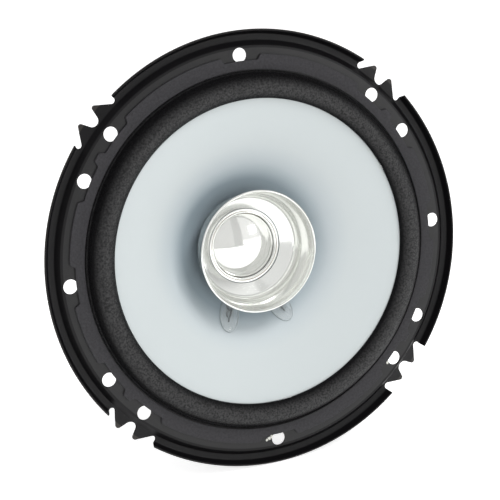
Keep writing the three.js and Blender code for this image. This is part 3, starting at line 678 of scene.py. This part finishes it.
def sheet_outline(line, thickness):
    """A sheet's outline: its front line, running inwards, and back along its rear face."""
    normals = []
    for (u0, v0), (u1, v1) in zip(line, line[1:]):
        length = hypot(u1 - u0, v1 - v0)
        normals.append(((v1 - v0) / length, -(u1 - u0) / length))
    rear = []
    for i, (u, v) in enumerate(line):
        before, after = normals[max(i - 1, 0)], normals[min(i, len(normals) - 1)]
        share = 1 + before[0] * after[0] + before[1] * after[1]
        reach = thickness / share
        rear.append((u + reach * (before[0] + after[0]), v + reach * (before[1] + after[1])))
    return list(line) + rear[::-1]


def bezier(points, steps):
    """Points on a quadratic or cubic Bezier curve."""
    made = []
    for k in range(steps + 1):
        level = [np.array(p, float) for p in points]
        while len(level) > 1:
            level = [a + (b - a) * (k / steps) for a, b in zip(level, level[1:])]
        made.append(tuple(level[0]))
    return made


def new_object(name, vertices, faces, look, sharp=35):
    """A mesh object from points in mm, smooth but for edges sharper than an angle."""
    mesh = bpy.data.meshes.new(name)
    mesh.from_pydata(np.asarray(vertices, float) / 1000, [], faces)
    mesh.materials.append(LOOKS[look])
    tidy(mesh, sharp)
    return add(name, mesh)


def tidy(mesh, sharp=35):
    """Merges doubled points, turns faces outwards and smooths all but sharp edges."""
    work = bmesh.new()
    work.from_mesh(mesh)
    bmesh.ops.remove_doubles(work, verts=work.verts, dist=1e-7)
    bmesh.ops.dissolve_degenerate(work, edges=work.edges, dist=1e-7)
    bmesh.ops.recalc_face_normals(work, faces=work.faces)
    work.to_mesh(mesh)
    work.free()
    mesh.shade_smooth()
    mesh.set_sharp_from_angle(angle=radians(sharp))


def quads(rows, columns, closed=False):
    """Faces between closed rows of points, and from the last row to the first when closed."""
    faces = []
    for row in range(rows if closed else rows - 1):
        here, there = row * columns, (row + 1) % rows * columns
        for k in range(columns):
            after = (k + 1) % columns
            faces.append((here + k, here + after, there + after, there + k))
    return faces


def swept(name, outline_at, angles, look, closed=True, sharp=35):
    """A ring whose (radius, Y) section may change with the angle."""
    outlines = [outline_at(angle) for angle in angles]
    vertices = []
    for outline, angle in zip(outlines, angles):
        for radius, y in outline:
            x, z = on_ring(radius, angle)
            vertices.append((x, y, z))
    return new_object(name, vertices, quads(len(angles), len(outlines[0]), closed), look, sharp)


def lathe(name, outline, look, segments=SEGMENTS, at=(0, 0), sharp=35):
    """A (radius, Y) outline turned about the line along Y through at, an (x, z)."""
    angles = [360 * k / segments for k in range(segments)]
    piece = swept(name, lambda angle: outline, angles, look, sharp=sharp)
    piece.data.transform(shift(at[0], 0, at[1]))
    return piece


def shift(x, y, z):
    return Matrix.Translation(Vector((x, y, z)) / 1000)


def sheet_ring(name, line, thickness, corners, steps, look, **more):
    """A sheet turned about the axis, with its outer edge's front and rear corners rounded."""
    outline = [(max(radius, 0), y) for radius, y in sheet_outline(line, thickness)]
    radii = [corners[0], *[0] * (len(outline) - 2), corners[1]]
    return lathe(name, rounded(outline, radii, steps), look, **more)


def ring(name, inner, outer, front, rear, look, edge=0.3, **more):
    outline = rounded([(inner, front), (outer, front), (outer, rear), (inner, rear)], edge)
    return lathe(name, outline, look, **more)


def prism(name, vertices, look):
    """The solid between two matching outlines, one after the other in vertices."""
    count = len(vertices) // 2
    caps = [tuple(range(count)), tuple(range(2 * count - 1, count - 1, -1))]
    return new_object(name, vertices, caps + quads(2, count), look)


def extruded(name, outline, front, rear, look):
    """A flat (x, z) outline given thickness from front to rear along Y."""
    return prism(name, [(x, y, z) for y in (front, rear) for x, z in outline], look)


def evaluated_mesh(piece):
    bpy.context.view_layer.update()
    return bpy.data.meshes.new_from_object(piece.evaluated_get(bpy.context.evaluated_depsgraph_get()))


def bake_modifiers(piece):
    mesh = evaluated_mesh(piece)
    piece.modifiers.clear()
    piece.data = mesh
    tidy(mesh)


def ease(piece, width):
    """Bevels a piece's sharp edges, in mm, and keeps the result as its mesh."""
    bevel = piece.modifiers.new("ease", "BEVEL")
    bevel.width = width / 1000
    bevel.segments = 2
    bevel.limit_method = "ANGLE"
    bevel.angle_limit = radians(40)
    bake_modifiers(piece)


def boolean(piece, tool, operation):
    """Joins or cuts a piece with a tool, which is used up."""
    step = piece.modifiers.new("cut", "BOOLEAN")
    step.operation = operation
    step.solver = "EXACT"
    step.object = tool
    bake_modifiers(piece)
    bpy.data.objects.remove(tool)


def joined(name, pieces):
    work = bmesh.new()
    for piece in pieces:
        work.from_mesh(piece.data)
    mesh = bpy.data.meshes.new(name)
    for material in pieces[0].data.materials:
        mesh.materials.append(material)
    work.to_mesh(mesh)
    work.free()
    for piece in pieces:
        bpy.data.objects.remove(piece)
    return add(name, mesh)


def smooth_path(points, steps=8):
    """A centripetal Catmull-Rom curve through the points."""
    control = [np.array(p, float) for p in points]
    control = [2 * control[0] - control[1], *control, 2 * control[-1] - control[-2]]
    made = []
    for p0, p1, p2, p3 in zip(control, control[1:], control[2:], control[3:]):
        t1 = np.linalg.norm(p1 - p0) ** 0.5
        t2 = t1 + np.linalg.norm(p2 - p1) ** 0.5
        t3 = t2 + np.linalg.norm(p3 - p2) ** 0.5
        for k in range(steps):
            t = t1 + (t2 - t1) * k / steps
            a1 = (t1 - t) / t1 * p0 + t / t1 * p1
            a2 = (t2 - t) / (t2 - t1) * p1 + (t - t1) / (t2 - t1) * p2
            a3 = (t3 - t) / (t3 - t2) * p2 + (t - t2) / (t3 - t2) * p3
            b1 = (t2 - t) / t2 * a1 + t / t2 * a2
            b2 = (t3 - t) / (t3 - t1) * a2 + (t - t1) / (t3 - t1) * a3
            made.append((t2 - t) / (t2 - t1) * b1 + (t - t1) / (t2 - t1) * b2)
    made.append(control[-2])
    return made


def tube(name, points, radius, look, steps=8):
    """A round wire along a smooth path, as a mesh."""
    curve = bpy.data.curves.new(name, "CURVE")
    curve.dimensions = "3D"
    curve.bevel_depth = radius / 1000
    curve.bevel_resolution = 4
    curve.use_fill_caps = True
    route = smooth_path(points, steps)
    spline = curve.splines.new("POLY")
    spline.points.add(len(route) - 1)
    for point, place in zip(spline.points, route):
        point.co = (*(place / 1000), 1)
    holder = add(name, curve)
    mesh = evaluated_mesh(holder)
    bpy.data.objects.remove(holder)
    mesh.materials.clear()
    mesh.materials.append(LOOKS[look])
    tidy(mesh, 60)
    return add(name, mesh)


def turned_to(piece, degrees):
    """Turns a piece about the speaker's axis, from +X towards +Z."""
    piece.data.transform(Matrix.Rotation(-radians(degrees), 4, "Y"))
    return piece


def place(piece, *nodes, body="chassis", slot=None):
    """Rides a piece on a body, in place of CAD nodes. The slot argument is not used."""
    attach(piece, body)
    slot or piece.data.materials[0].name.split(".")[0]
    if nodes:
        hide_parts(*nodes)


# ---- basket


def crossing_tangent(a, b, side):
    """The angles where the line that crosses between two circles (u, v, r) touches each."""
    towards = atan2(b[1] - a[1], b[0] - a[0])
    opening = acos((a[2] + b[2]) / hypot(b[0] - a[0], b[1] - a[1])) * side
    return towards + opening, towards + pi + opening


def arc(circle, start, end, steps=12):
    u, v, r = circle
    angles = [start + (end - start) * k / steps for k in range(steps + 1)]
    return [(u + r * cos(a), v + r * sin(a)) for a in angles]


def zone_cutter(zone):
    """What is cut away from one toothed zone of the rim."""
    far = TOOTH_TIP[0] + 8
    flank_from, flank_to = crossing_tangent(TIP_ARC, SIDE_ARC, -1)
    throat_from, throat_to = crossing_tangent(TIP_ARC, MIDDLE_ARC, 1)
    half = [
        (far, ZONE_HALF_WIDTH),
        *arc(SIDE_ARC, pi / 2, flank_to),
        *arc(TIP_ARC, flank_from, throat_from),
        *arc(MIDDLE_ARC, throat_to, pi),
    ]
    outline = half + [(u, -v) for u, v in reversed(half[:-1])]
    return turned_to(extruded("cutter", outline, -12, 12, "black_steel"), zone)


def hole_cutter(radius, x, z, front, rear, chamfer=0.1):
    """A cutter that eases the hole's edges where it leaves the sheet."""
    outline = [
        (0, front - 3), (radius + chamfer, front - 3), (radius + chamfer, front), (radius, front + chamfer),
        (radius, rear - chamfer), (radius + chamfer, rear), (radius + chamfer, rear + 3), (0, rear + 3),
    ]
    return lathe("cutter", outline, "black_steel", 40, (x, z))


def window_cutter(angle):
    outline = rounded([
        (-WINDOW_FRONT_HALF, WINDOW_FRONT_Y),
        (WINDOW_FRONT_HALF, WINDOW_FRONT_Y),
        (WINDOW_REAR_HALF, WINDOW_REAR_Y),
        (-WINDOW_REAR_HALF, WINDOW_REAR_Y),
    ], WINDOW_CORNER, 8)
    vertices = [(x, y, z) for x in (20, FLANGE_IN_R) for z, y in outline]
    return turned_to(prism("cutter", vertices, "black_steel"), angle)


def board_holes(front, rear, chamfer):
    """The rivet and lead holes that the basket's tab and the board share."""
    cutters = []
    for side in (-1, 1):
        rivet_x, rivet_z = BOARD_RIVET
        cutters.append(hole_cutter(BOARD_RIVET_HOLE_R, side * rivet_x, rivet_z, front, rear, 0))
        cutters.append(hole_cutter(LEAD_HOLE_R, side * SPADE_X, LEAD_HOLE_Z, front, rear, chamfer))
    return cutters


def panel(half_width, low, high):
    """The corners of an upright rectangle about the middle plane."""
    return [(-half_width, low), (half_width, low), (half_width, high), (-half_width, high)]


def from_nearest(angle, places):
    """Degrees from an angle to the nearest of some places."""
    return min(abs((angle - place + 540) % 360 - 180) for place in places)


def rib(radius, y, angle):
    """A stamped rib down the middle of each leg pushes the wall outwards."""
    along = (radius - WALL_FOOT[0]) / (WALL_TOP[0] - WALL_FOOT[0])
    across = from_nearest(angle, ZONE_ANGLES) / RIB_HALF_ANGLE
    if not 0 < along < 1 or across >= 1:
        return radius, y
    push = RIB_HEIGHT * cos(across * pi / 2) ** 2 * min(1, 6 * min(along, 1 - along)) ** 2
    return radius + push * RIB_PUSH[0], y + push * RIB_PUSH[1]


def basket_outlines():
    """The stamped sheet's section where the rim has its lip, and where it has teeth."""
    inwards = [
        (CHANNEL_IN_R, CHANNEL_Y), (STEP_R, FLANGE_Y), (FLANGE_IN_R, FLANGE_Y), SHOULDER, WALL_TOP, WALL_FOOT,
        (LEDGE_OUT_R, LEDGE_Y), (LEDGE_IN_R, LEDGE_Y), SEAT_WALL_TOP, SEAT_WALL_FOOT, (SEAT_OUT_R, SEAT_Y),
        (SEAT_IN_R, SEAT_Y),
    ]
    lean = tuple((a + b) / 2 for a, b in zip(TOOTH_TIP, (CHANNEL_IN_R, CHANNEL_Y)))
    front_radii = [0.3, 0.9, 0.8, 0.7, 1.2, 0.8, 0.8, 1.5, 0.8, 1.0, 0.8, 0.8, 1.0, 0.25]
    radii = front_radii + front_radii[::-1]
    lipped = sheet_outline([LIP, (CHANNEL_OUT_R, CHANNEL_Y), *inwards], SHEET)
    toothed = sheet_outline([TOOTH_TIP, lean, *inwards], SHEET)
    return rounded(lipped, radii, 3), rounded(toothed, radii, 3)


def basket_angles():
    """Where the basket's sections stand: close over the teeth, even between them."""
    angles = []
    for zone in ZONE_ANGLES:
        angles += [zone + TOOTHED_TO * k / 8 for k in range(-8, 9)]
        span = 90 - 2 * LIPPED_FROM
        angles += [zone + LIPPED_FROM + span * k / 60 for k in range(61)]
    return angles


def make_basket():
    lipped, toothed = basket_outlines()
    border = (LIPPED_FROM + TOOTHED_TO) / 2

    def outline_at(angle):
        outline = toothed if from_nearest(angle, ZONE_ANGLES) < border else lipped
        return [rib(radius, y, angle) for radius, y in outline]

    basket = swept("basket_shell", outline_at, basket_angles(), "black_steel")
    tab = extruded("tab", rounded(panel(*TAB), 1.5), LEDGE_Y, BOARD_Y, "black_steel")
    boolean(basket, tab, "UNION")

    cutters = [zone_cutter(zone) for zone in ZONE_ANGLES]
    for angle in HOLE_ANGLES:
        cutters.append(hole_cutter(HOLE_R, *on_ring(HOLE_RING_R, angle), FLANGE_Y, FLANGE_Y + SHEET))
    for zone in ZONE_ANGLES:
        cutters.append(window_cutter(zone - 45))
        cutters.append(hole_cutter(VENT_R, *on_ring(VENT_RING_R, zone), *VENT_Y, 0))
        cutters.append(hole_cutter(RIVET_HOLE_R, *on_ring(RIVET_RING_R, zone), SEAT_Y, SEAT_Y + SHEET, 0))
    cutters += board_holes(LEDGE_Y, BOARD_Y, 0)
    boolean(basket, joined("cutters", cutters), "DIFFERENCE")
    place(basket, "basket")


make_basket()

# ---- gasket


def make_gasket():
    def outline_at(angle):
        along = radians(from_nearest(angle, HOLE_ANGLES)) * HOLE_RING_R
        share = min(max((along - GASKET_RECESS_HALF) / GASKET_RAMP, 0), 1)
        share = share * share * (3 - 2 * share)
        outer = GASKET_RECESS_R + (GASKET_OUT_R - GASKET_RECESS_R) * share
        front = FLANGE_Y - GASKET_T
        corners = [(GASKET_IN_R, FLANGE_Y), (GASKET_IN_R, front), (outer, front), (outer, FLANGE_Y)]
        return rounded(corners, [0, 0.3, 0.25, 0], 3)

    gasket = swept("gasket_ring", outline_at, [k / 3 for k in range(1080)], "gasket_fibre")
    place(gasket, "gasket")


make_gasket()

# ---- cone and suspension

CONE_LINE = bezier([CONE_EDGE, CONE_BEND, CONE_NECK], 48)


def cone_front(radius):
    """Y of the cone's front face at a radius."""
    radii, ys = zip(*reversed(CONE_LINE))
    return float(np.interp(radius, radii, ys))


def make_cone():
    cone = sheet_ring("cone_shell", CONE_LINE, CONE_T, (0.22, 0.22), 4, "cone_film", segments=320)
    place(cone, "cone", body="cone_assembly")


def sectors(name, outline, look, count, segments, blend, node):
    """A ring in sectors, each turned over its own span of angles, with normals that meet smoothly."""
    first = None
    for k in range(count):
        middle = 360 * (k + 0.5) / count
        angles = [360 * k / count + 360 / count * s / segments for s in range(segments + 1)]
        piece = swept(f"{name}_{k + 1}", lambda angle: outline, angles, look, closed=False, sharp=60)
        set_ring_normals(piece)
        start, end = [Vector((x, 0, z)) / 1000 for x, z in (on_ring(radius, middle) for radius in blend)]
        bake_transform(piece)
        first = first or piece
    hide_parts(node)


def set_ring_normals(piece):
    """Lays every normal in its own radial plane, so that the sectors meet smoothly."""
    normals = []
    for vertex in piece.data.vertices:
        normal = vertex.normal.copy()
        radial = Vector((vertex.co.x, 0, vertex.co.z)).normalized()
        tangent = Vector((-radial.z, 0, radial.x))
        normals.append((normal - tangent * normal.dot(tangent)).normalized())
    piece.data.normals_split_custom_set_from_vertices(normals)


def make_surround():
    foot_y = FLANGE_Y - SURROUND_T
    roll = bezier([(SURROUND_FOOT_R, foot_y), *ROLL_HANDLES, SURROUND_IN], 26)
    outline = sheet_outline([(SURROUND_OUT_R, foot_y), *roll], SURROUND_T)
    sectors("surround_roll", outline, "black_rubber", SURROUND_SECTORS, 20, SURROUND_BLEND, "surround")


def make_spider():
    front = LEDGE_Y - SPIDER_T
    inner = SPIDER_IN_R + SPIDER_COLLAR
    line = [(SPIDER_OUT_R, front)]
    steps = SPIDER_WAVES * 24
    for k in range(steps + 1):
        wave = -SPIDER_WAVE * sin(2 * pi * SPIDER_WAVES * k / steps)
        line.append((SPIDER_FLAT_R + (inner - SPIDER_FLAT_R) * k / steps, front + wave))
    line.append((SPIDER_IN_R, front))
    outline = sheet_outline(line, SPIDER_T)
    sectors("spider_disc", outline, "cotton_cloth", SPIDER_SECTORS, 16, SPIDER_BLEND, "spider")


make_cone()
make_surround()
make_spider()

# ---- motor


def make_motor():
    top = ring("top_plate_disc", PLATE_IN_R, PLATE_OUT_R, TOP_PLATE_Y, MAGNET_Y, "zinc_steel", 0.5)
    place(top, "top_plate")
    magnet = ring("magnet_ring", MAGNET_IN_R, MAGNET_OUT_R, MAGNET_Y, BACK_PLATE_Y, "ferrite", 0.7)
    place(magnet, "magnet")
    corners = [
        (POLE_BORE_R, TOP_PLATE_Y), (POLE_R, TOP_PLATE_Y), (POLE_R, BACK_PLATE_Y),
        (PLATE_OUT_R, BACK_PLATE_Y), (PLATE_OUT_R, BACK_Y), (GROOVE_R + 0.6, BACK_Y),
        (GROOVE_R, BACK_Y - 0.5), (GROOVE_R - 0.6, BACK_Y), (POLE_BORE_R, BACK_Y),
    ]
    radii = [0.4, 0.5, 0.3, 0.5, 0.7, 0.2, 0.2, 0.2, 0.6]
    yoke = lathe("back_plate_and_pole", rounded(corners, radii), "zinc_steel")
    place(yoke, "pole_yoke")


def make_rivet(name, node, at, head_y, tail_y, size, rear_head):
    """A rivet with a domed head in front, and behind a second one or a plain end."""
    head_r, head_t, shank_r = size
    corners = [(0, head_y - head_t), (head_r, head_y - head_t), (head_r, head_y), (shank_r, head_y)]
    radii = [0, head_t * 0.8, 0.1, 0]
    if rear_head:
        corners += [(shank_r, tail_y), (head_r, tail_y), (head_r, tail_y + head_t), (0, tail_y + head_t)]
        radii += [0, 0.1, head_t * 0.8, 0]
    else:
        corners += [(shank_r, tail_y), (0, tail_y)]
        radii += [0, 0]
    rivet = lathe(name, rounded(corners, radii, 6), "zinc_steel", 40, at)
    place(rivet, node)


def make_rivets():
    tail_y = SEAT_Y + RIVET_LENGTH
    for k, angle in enumerate(ZONE_ANGLES):
        at = on_ring(RIVET_RING_R, angle)
        make_rivet(f"motor_stake_{k + 1}", f"motor_rivet_{k + 1}", at, SEAT_Y, tail_y, MOTOR_RIVET, False)
    for word, side in SIDES:
        at = (side * BOARD_RIVET[0], BOARD_RIVET[1])
        make_rivet(f"board_eyelet_{word}", f"board_rivet_{word}", at, LEDGE_Y, SPADE_Y, BOARD_EYELET, True)


make_motor()
make_rivets()

# ---- terminals, crossover


def make_board():
    board = extruded("terminal_plate", rounded(panel(*BOARD), 1.2, 6), BOARD_Y, SPADE_Y, "phenolic")
    boolean(board, joined("cutters", board_holes(BOARD_Y, SPADE_Y, 0.15)), "DIFFERENCE")
    place(board, "terminal_board")


def make_spade(word, node, x, width):
    """A flat blade with a tapered tip and a small hole."""
    half = width / 2
    taper = half * 0.6
    top, shoulder, tip = SPADE_Z
    hole_r, hole_z = SPADE_HOLE
    rear = SPADE_Y + SPADE_T
    outline = rounded([
        (x - half, top), (x - half, shoulder), (x - taper, tip),
        (x + taper, tip), (x + half, shoulder), (x + half, top),
    ], 0.35, 4)
    spade = extruded(f"spade_{word}", outline, SPADE_Y, rear, "tinned_brass")
    ease(spade, 0.12)
    boolean(spade, hole_cutter(hole_r, x, hole_z, SPADE_Y, rear, 0.12), "DIFFERENCE")
    place(spade, node)


def make_capacitor():
    """A can with a crimped groove and a sunk seal, and its two leads."""
    radius, half = CAPACITOR_R, CAPACITOR_HALF
    outline = rounded([
        (0, -half), (radius - 0.7, -half), (radius, -half + 0.5), (radius, -half + 1.6),
        (radius - 0.35, -half + 2.0), (radius, -half + 2.4), (radius, half - 0.4),
        (radius - 0.6, half), (radius - 1.1, half - 0.4), (0, half - 0.4),
    ], [0, 0.3, 0.4, 0.3, 0.3, 0.3, 0.4, 0.2, 0.2, 0], 4)
    body = lathe("capacitor_can", outline, "capacitor_sleeve", 64)
    body.data.transform(Matrix.Rotation(pi / 2, 4, "Z"))
    body.data.transform(shift(0, CAPACITOR_Y, CAPACITOR_Z))
    place(body, "capacitor")

    y, z = CAPACITOR_Y, CAPACITOR_Z
    low = SPADE_Y + SPADE_T + THIN_WIRE_R + 0.3
    right = tube("capacitor_leg_right", [
        (half + 0.3, y, z), (half + 1.9, y - 0.6, z), (half + 1.7, low + 1.2, z - 1), (SPADE_X, low, z - 5.6),
    ], THIN_WIRE_R, "tinned_brass")
    place(right, "capacitor_lead_to_spade")
    left = tube("capacitor_leg_left", [
        (-half - 0.3, y, z), (-half - 2, y, z + 0.6), (-half - 2.2, y + 0.2, z + 2.6),
        (-half - 2, y + 0.4, z + 4.2),
    ], THIN_WIRE_R, "tinned_brass")
    place(left, "capacitor_lead_to_wire")


make_board()
make_spade("wide", "terminal_positive", SPADE_X, WIDE_SPADE)
make_spade("narrow", "terminal_negative", -SPADE_X, NARROW_SPADE)
make_capacitor()

# ---- leads and drops


def make_tinsel_lead(word, side):
    """The braid from a spade's inner end, through its hole, to the back of the cone."""
    landing_y = cone_front(hypot(*LANDING)) + CONE_T + TINSEL_R + LEAD_GAP
    lead = tube(f"braid_{word}", [
        (side * SPADE_X, SPADE_Y - 0.3, LEAD_HOLE_Z), (side * SPADE_X, BOARD_Y - 2.5, LEAD_HOLE_Z),
        (side * 6.4, 17, -48.2), (side * 9, 12.5, -44), (side * 11.4, 10.2, -37.5),
        (side * LANDING[0], landing_y, LANDING[1]),
    ], TINSEL_R, "tinsel")
    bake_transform(lead)
    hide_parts(f"tinsel_lead_{word}")


def make_coil_lead(word, side):
    """The bare end of the coil's wire, on the cone's front up to the drop."""
    points = []
    for radius in COIL_LEAD_RADII:
        x, z = on_ring(radius, -DROP_ANGLE)
        points.append((side * x, cone_front(radius) - COIL_LEAD_R - LEAD_GAP, z))
    lead = tube(f"coil_end_{word}", points, COIL_LEAD_R, "copper_wire")
    place(lead, f"coil_lead_{word}", body="cone_assembly")


def on_cone(along, across, lift, side):
    """A point in front of the cone, by its place along and across a drop and its lift."""
    radius = DROP_RING_R + along
    line = radians(-DROP_ANGLE)
    x = radius * cos(line) - across * sin(line)
    z = radius * sin(line) + across * cos(line)
    return side * x, cone_front(hypot(x, z)) - lift, z


def on_drop_edge(share):
    """A point on a drop's oval edge, a share of the way round."""
    turn = 2 * pi * share
    return DROP_HALF_LENGTH * cos(turn), DROP_HALF_WIDTH * sin(turn)


def make_drop(word, side):
    """A clear drop over a lead joint: a steep rim and a low crown, with the dark strands inside."""
    rows, columns = 14, 72
    profile = [(cos(t), sin(t) ** 0.6) for t in (pi / 2 * k / rows for k in range(rows + 1))]
    profile = [(share, rise * (1 - 0.25 * (1 - share) ** 2)) for share, rise in profile]
    vertices = []
    for share, rise in profile[:-1]:
        for k in range(columns):
            along, across = on_drop_edge(k / columns)
            lift = DROP_GAP + DROP_HEIGHT * rise
            vertices.append(on_cone(share * along, share * across, lift, side))
    vertices.append(on_cone(0, 0, DROP_GAP + DROP_HEIGHT * profile[-1][1], side))
    faces = quads(rows, columns)
    last = (rows - 1) * columns
    faces += [(last + k, last + (k + 1) % columns, len(vertices) - 1) for k in range(columns)]
    faces.append(tuple(reversed(range(columns))))
    drop = new_object(f"clear_drop_{word}", vertices, faces, "clear_glue", 75)
    place(drop, f"glue_drop_{word}", body="cone_assembly")

    # A thin grey line round each drop's edge, shade painted on the cone.
    edge_points = [on_cone(*on_drop_edge(k / 36), DROP_EDGE_R + DROP_GAP, side) for k in range(37)]
    edge = tube(f"drop_edge_{word}", edge_points, DROP_EDGE_R, "drop_shade_line", 1)
    place(edge, body="cone_assembly", slot="clear_glue")

    for name, strand in STRANDS.items():
        route = [on_cone(along, across, STRAND_LIFT, side) for along, across in strand]
        wire = tube(f"{name}_{word}", route, STRAND_R, "solder")
        place(wire, body="cone_assembly", slot="tinned_brass")


for WORD, SIDE in SIDES:
    make_tinsel_lead(WORD, SIDE)
    make_coil_lead(WORD, SIDE)
    make_drop(WORD, SIDE)

# ---- tweeter


def make_horn():
    """A funnel, a rounded cove behind it and a sloping floor in to the clamp ring."""
    funnel = bezier([(22.75, -3.2), (21.0, 0.2), (20.45, 3.9)], 16)
    cove = bezier([(20.4, 4.2), (20.6, 8.8), (18.1, 9.6)], 14)
    floor = [(14.6, 11.8)]
    line = funnel + cove + floor
    horn = sheet_ring("horn_shell", line, HORN_T, (0.3, 0.4), 5, "chrome", segments=320, sharp=50)
    place(horn, "tweeter_horn")


def make_clamp():
    """A low bead between two joint lines, level with the horn's floor."""
    corners = [
        (12.5, 12.7), (12.62, 12.0), (12.95, 11.72), (13.3, 11.8), (13.45, 11.86), (13.6, 11.78),
        (14.35, 11.82), (14.35, 12.4), (13.9, 13.0), (12.6, 13.0),
    ]
    radii = [0.1, 0.3, 0.3, 0.2, 0.1, 0.1, 0.1, 0.1, 0.3, 0.1]
    clamp = lathe("clamp_bead", rounded(corners, radii, 5), "chrome", sharp=50)
    place(clamp, "tweeter_clamp_ring")
    outer = ring("clamp_joint_outer", 13.38, 13.5, 11.76, 12.0, "glue_line", 0.03)
    place(outer, slot="black_plastic")
    inner = ring("clamp_joint_inner", 12.0, 12.45, 13.45, 13.75, "glue_line", 0.05)
    place(inner, slot="black_plastic")


def make_dome():
    """A shallow mirror-bright cap out to the clamp ring."""
    edge_r, edge_y = DOME_EDGE
    rise = edge_y - DOME_APEX_Y
    sphere = (edge_r ** 2 + rise ** 2) / (2 * rise)
    opening = asin(edge_r / sphere)
    cap = []
    for k in range(41):
        lean = opening * (1 - k / 40)
        cap.append((sphere * sin(lean), DOME_APEX_Y + sphere * (1 - cos(lean))))
    dome = sheet_ring("dome_shell", cap, DOME_T, (0.12, 0.12), 4, "dome_film", sharp=50)
    place(dome, "tweeter_dome", body="tweeter_diaphragm")


def make_tweeter_cup():
    """The tweeter's cup, with a flange that holds the clamp ring and the horn."""
    corners = [
        (0, 20.1), (10.6, 20.1), (10.6, 14.6), (12.5, 14.6), (12.5, 13.2), (14.6, 13.2), (14.6, 14.3),
        (13.4, 15.2), (11.8, 15.2), (11.8, TWEETER_REAR_Y), (0, TWEETER_REAR_Y),
    ]
    radii = [0, 0.3, 0.2, 0.2, 0.2, 0.4, 0.3, 0.3, 0.4, 0.8, 0]
    cup = lathe("tweeter_cup", rounded(corners, radii), "zinc_steel", 160)
    place(cup, "tweeter_yoke")


def make_tweeter_post():
    """The post between tweeter and pole, and the hollow stud through both."""
    radii = (POLE_BORE_R, POST_R)
    post = ring("tweeter_spacer", *radii, TWEETER_REAR_Y, TOP_PLATE_Y, "black_plastic", segments=96)
    place(post, "tweeter_post")

    corners = [(STUD_BORE_R, TWEETER_REAR_Y), (STUD_R, TWEETER_REAR_Y)]
    for k in range(int((STUD_REAR_Y - 1 - THREAD_FROM_Y) / THREAD_PITCH)):
        corners.append((STUD_R, THREAD_FROM_Y + k * THREAD_PITCH))
        corners.append((THREAD_ROOT_R, THREAD_FROM_Y + (k + 0.5) * THREAD_PITCH))
    corners += [(STUD_R, STUD_REAR_Y - 0.8), (3.0, STUD_REAR_Y), (STUD_BORE_R, STUD_REAR_Y)]
    stud = lathe("threaded_stud", corners, "zinc_steel", 64)
    place(stud, "tweeter_stud")


def make_tweeter_nut():
    """A washer, and a six-sided nut with dressed corners and a countersunk bore."""
    radii = (POLE_BORE_R, WASHER_R)
    washer = ring("plain_washer", *radii, BACK_Y, WASHER_REAR_Y, "zinc_steel", 0.25, segments=96)
    place(washer, "tweeter_washer")

    hexagon = [on_ring(NUT_R, 60 * k) for k in range(6)]
    nut = extruded("hex_nut", hexagon, WASHER_REAR_Y, NUT_REAR_Y, "zinc_steel")
    dress = lathe("cutter", [
        (0, BACK_Y + 0.5), (5.5, BACK_Y + 0.5), (5.85, BACK_Y + 1.5), (5.85, BACK_Y + 3.9),
        (5.05, BACK_Y + 4.6), (0, BACK_Y + 4.6),
    ], "zinc_steel", 96)
    boolean(nut, dress, "INTERSECT")
    boolean(nut, hole_cutter(POLE_BORE_R, 0, 0, WASHER_REAR_Y, NUT_REAR_Y, 0.4), "DIFFERENCE")
    place(nut, "tweeter_nut")


def make_tweeter_wire(word, x, look, ending):
    """An insulated wire through the stud and down the motor, then along its own ending."""
    wire = tube(f"wire_{word}", [
        (x, TWEETER_REAR_Y + 0.6, 0), (x, 40, 0), (x, 54, 0), (x, 57.6, -1), (x, 58, -4), (x, 56.6, -8),
        (x, 52, -13), (x, BACK_Y + 1, -17), (x, BACK_Y + 1, -34), (x, BACK_Y, -37.5), (x, 46, -39.3), *ending,
    ], WIRE_R, look)
    place(wire, f"tweeter_wire_{word}")


make_horn()
make_clamp()
make_dome()
make_tweeter_cup()
make_tweeter_post()
make_tweeter_nut()
make_tweeter_wire("negative", -WIRE_X, "black_insulation", [
    (-2.2, 40, -39.4), (-6, 35.8, -41), (-11, 32.4, -45), (-12.8, 29.6, -50.5), (-11, 28.3, -55.5),
    (-7.4, 28, -57.8),
])
make_tweeter_wire("positive", WIRE_X, "red_insulation", [
    (0.6, 40, -39.4), (-3, 36, -41.6), (-7.4, 33.2, -44.2), (-9, 32, -46.6),
])

# ---- CAD nodes that stay shown

STAYS = {
    "coil_former": "former_film",
    "voice_coil": "copper_wire",
    "tweeter_voice_coil": "copper_wire",
    "tweeter_pole_plate": "zinc_steel",
    "tweeter_magnet": "zinc_steel",
}
for NODE, LOOK in STAYS.items():
    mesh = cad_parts[NODE].data
    mesh.materials.clear()
    mesh.materials.append(LOOKS[LOOK])
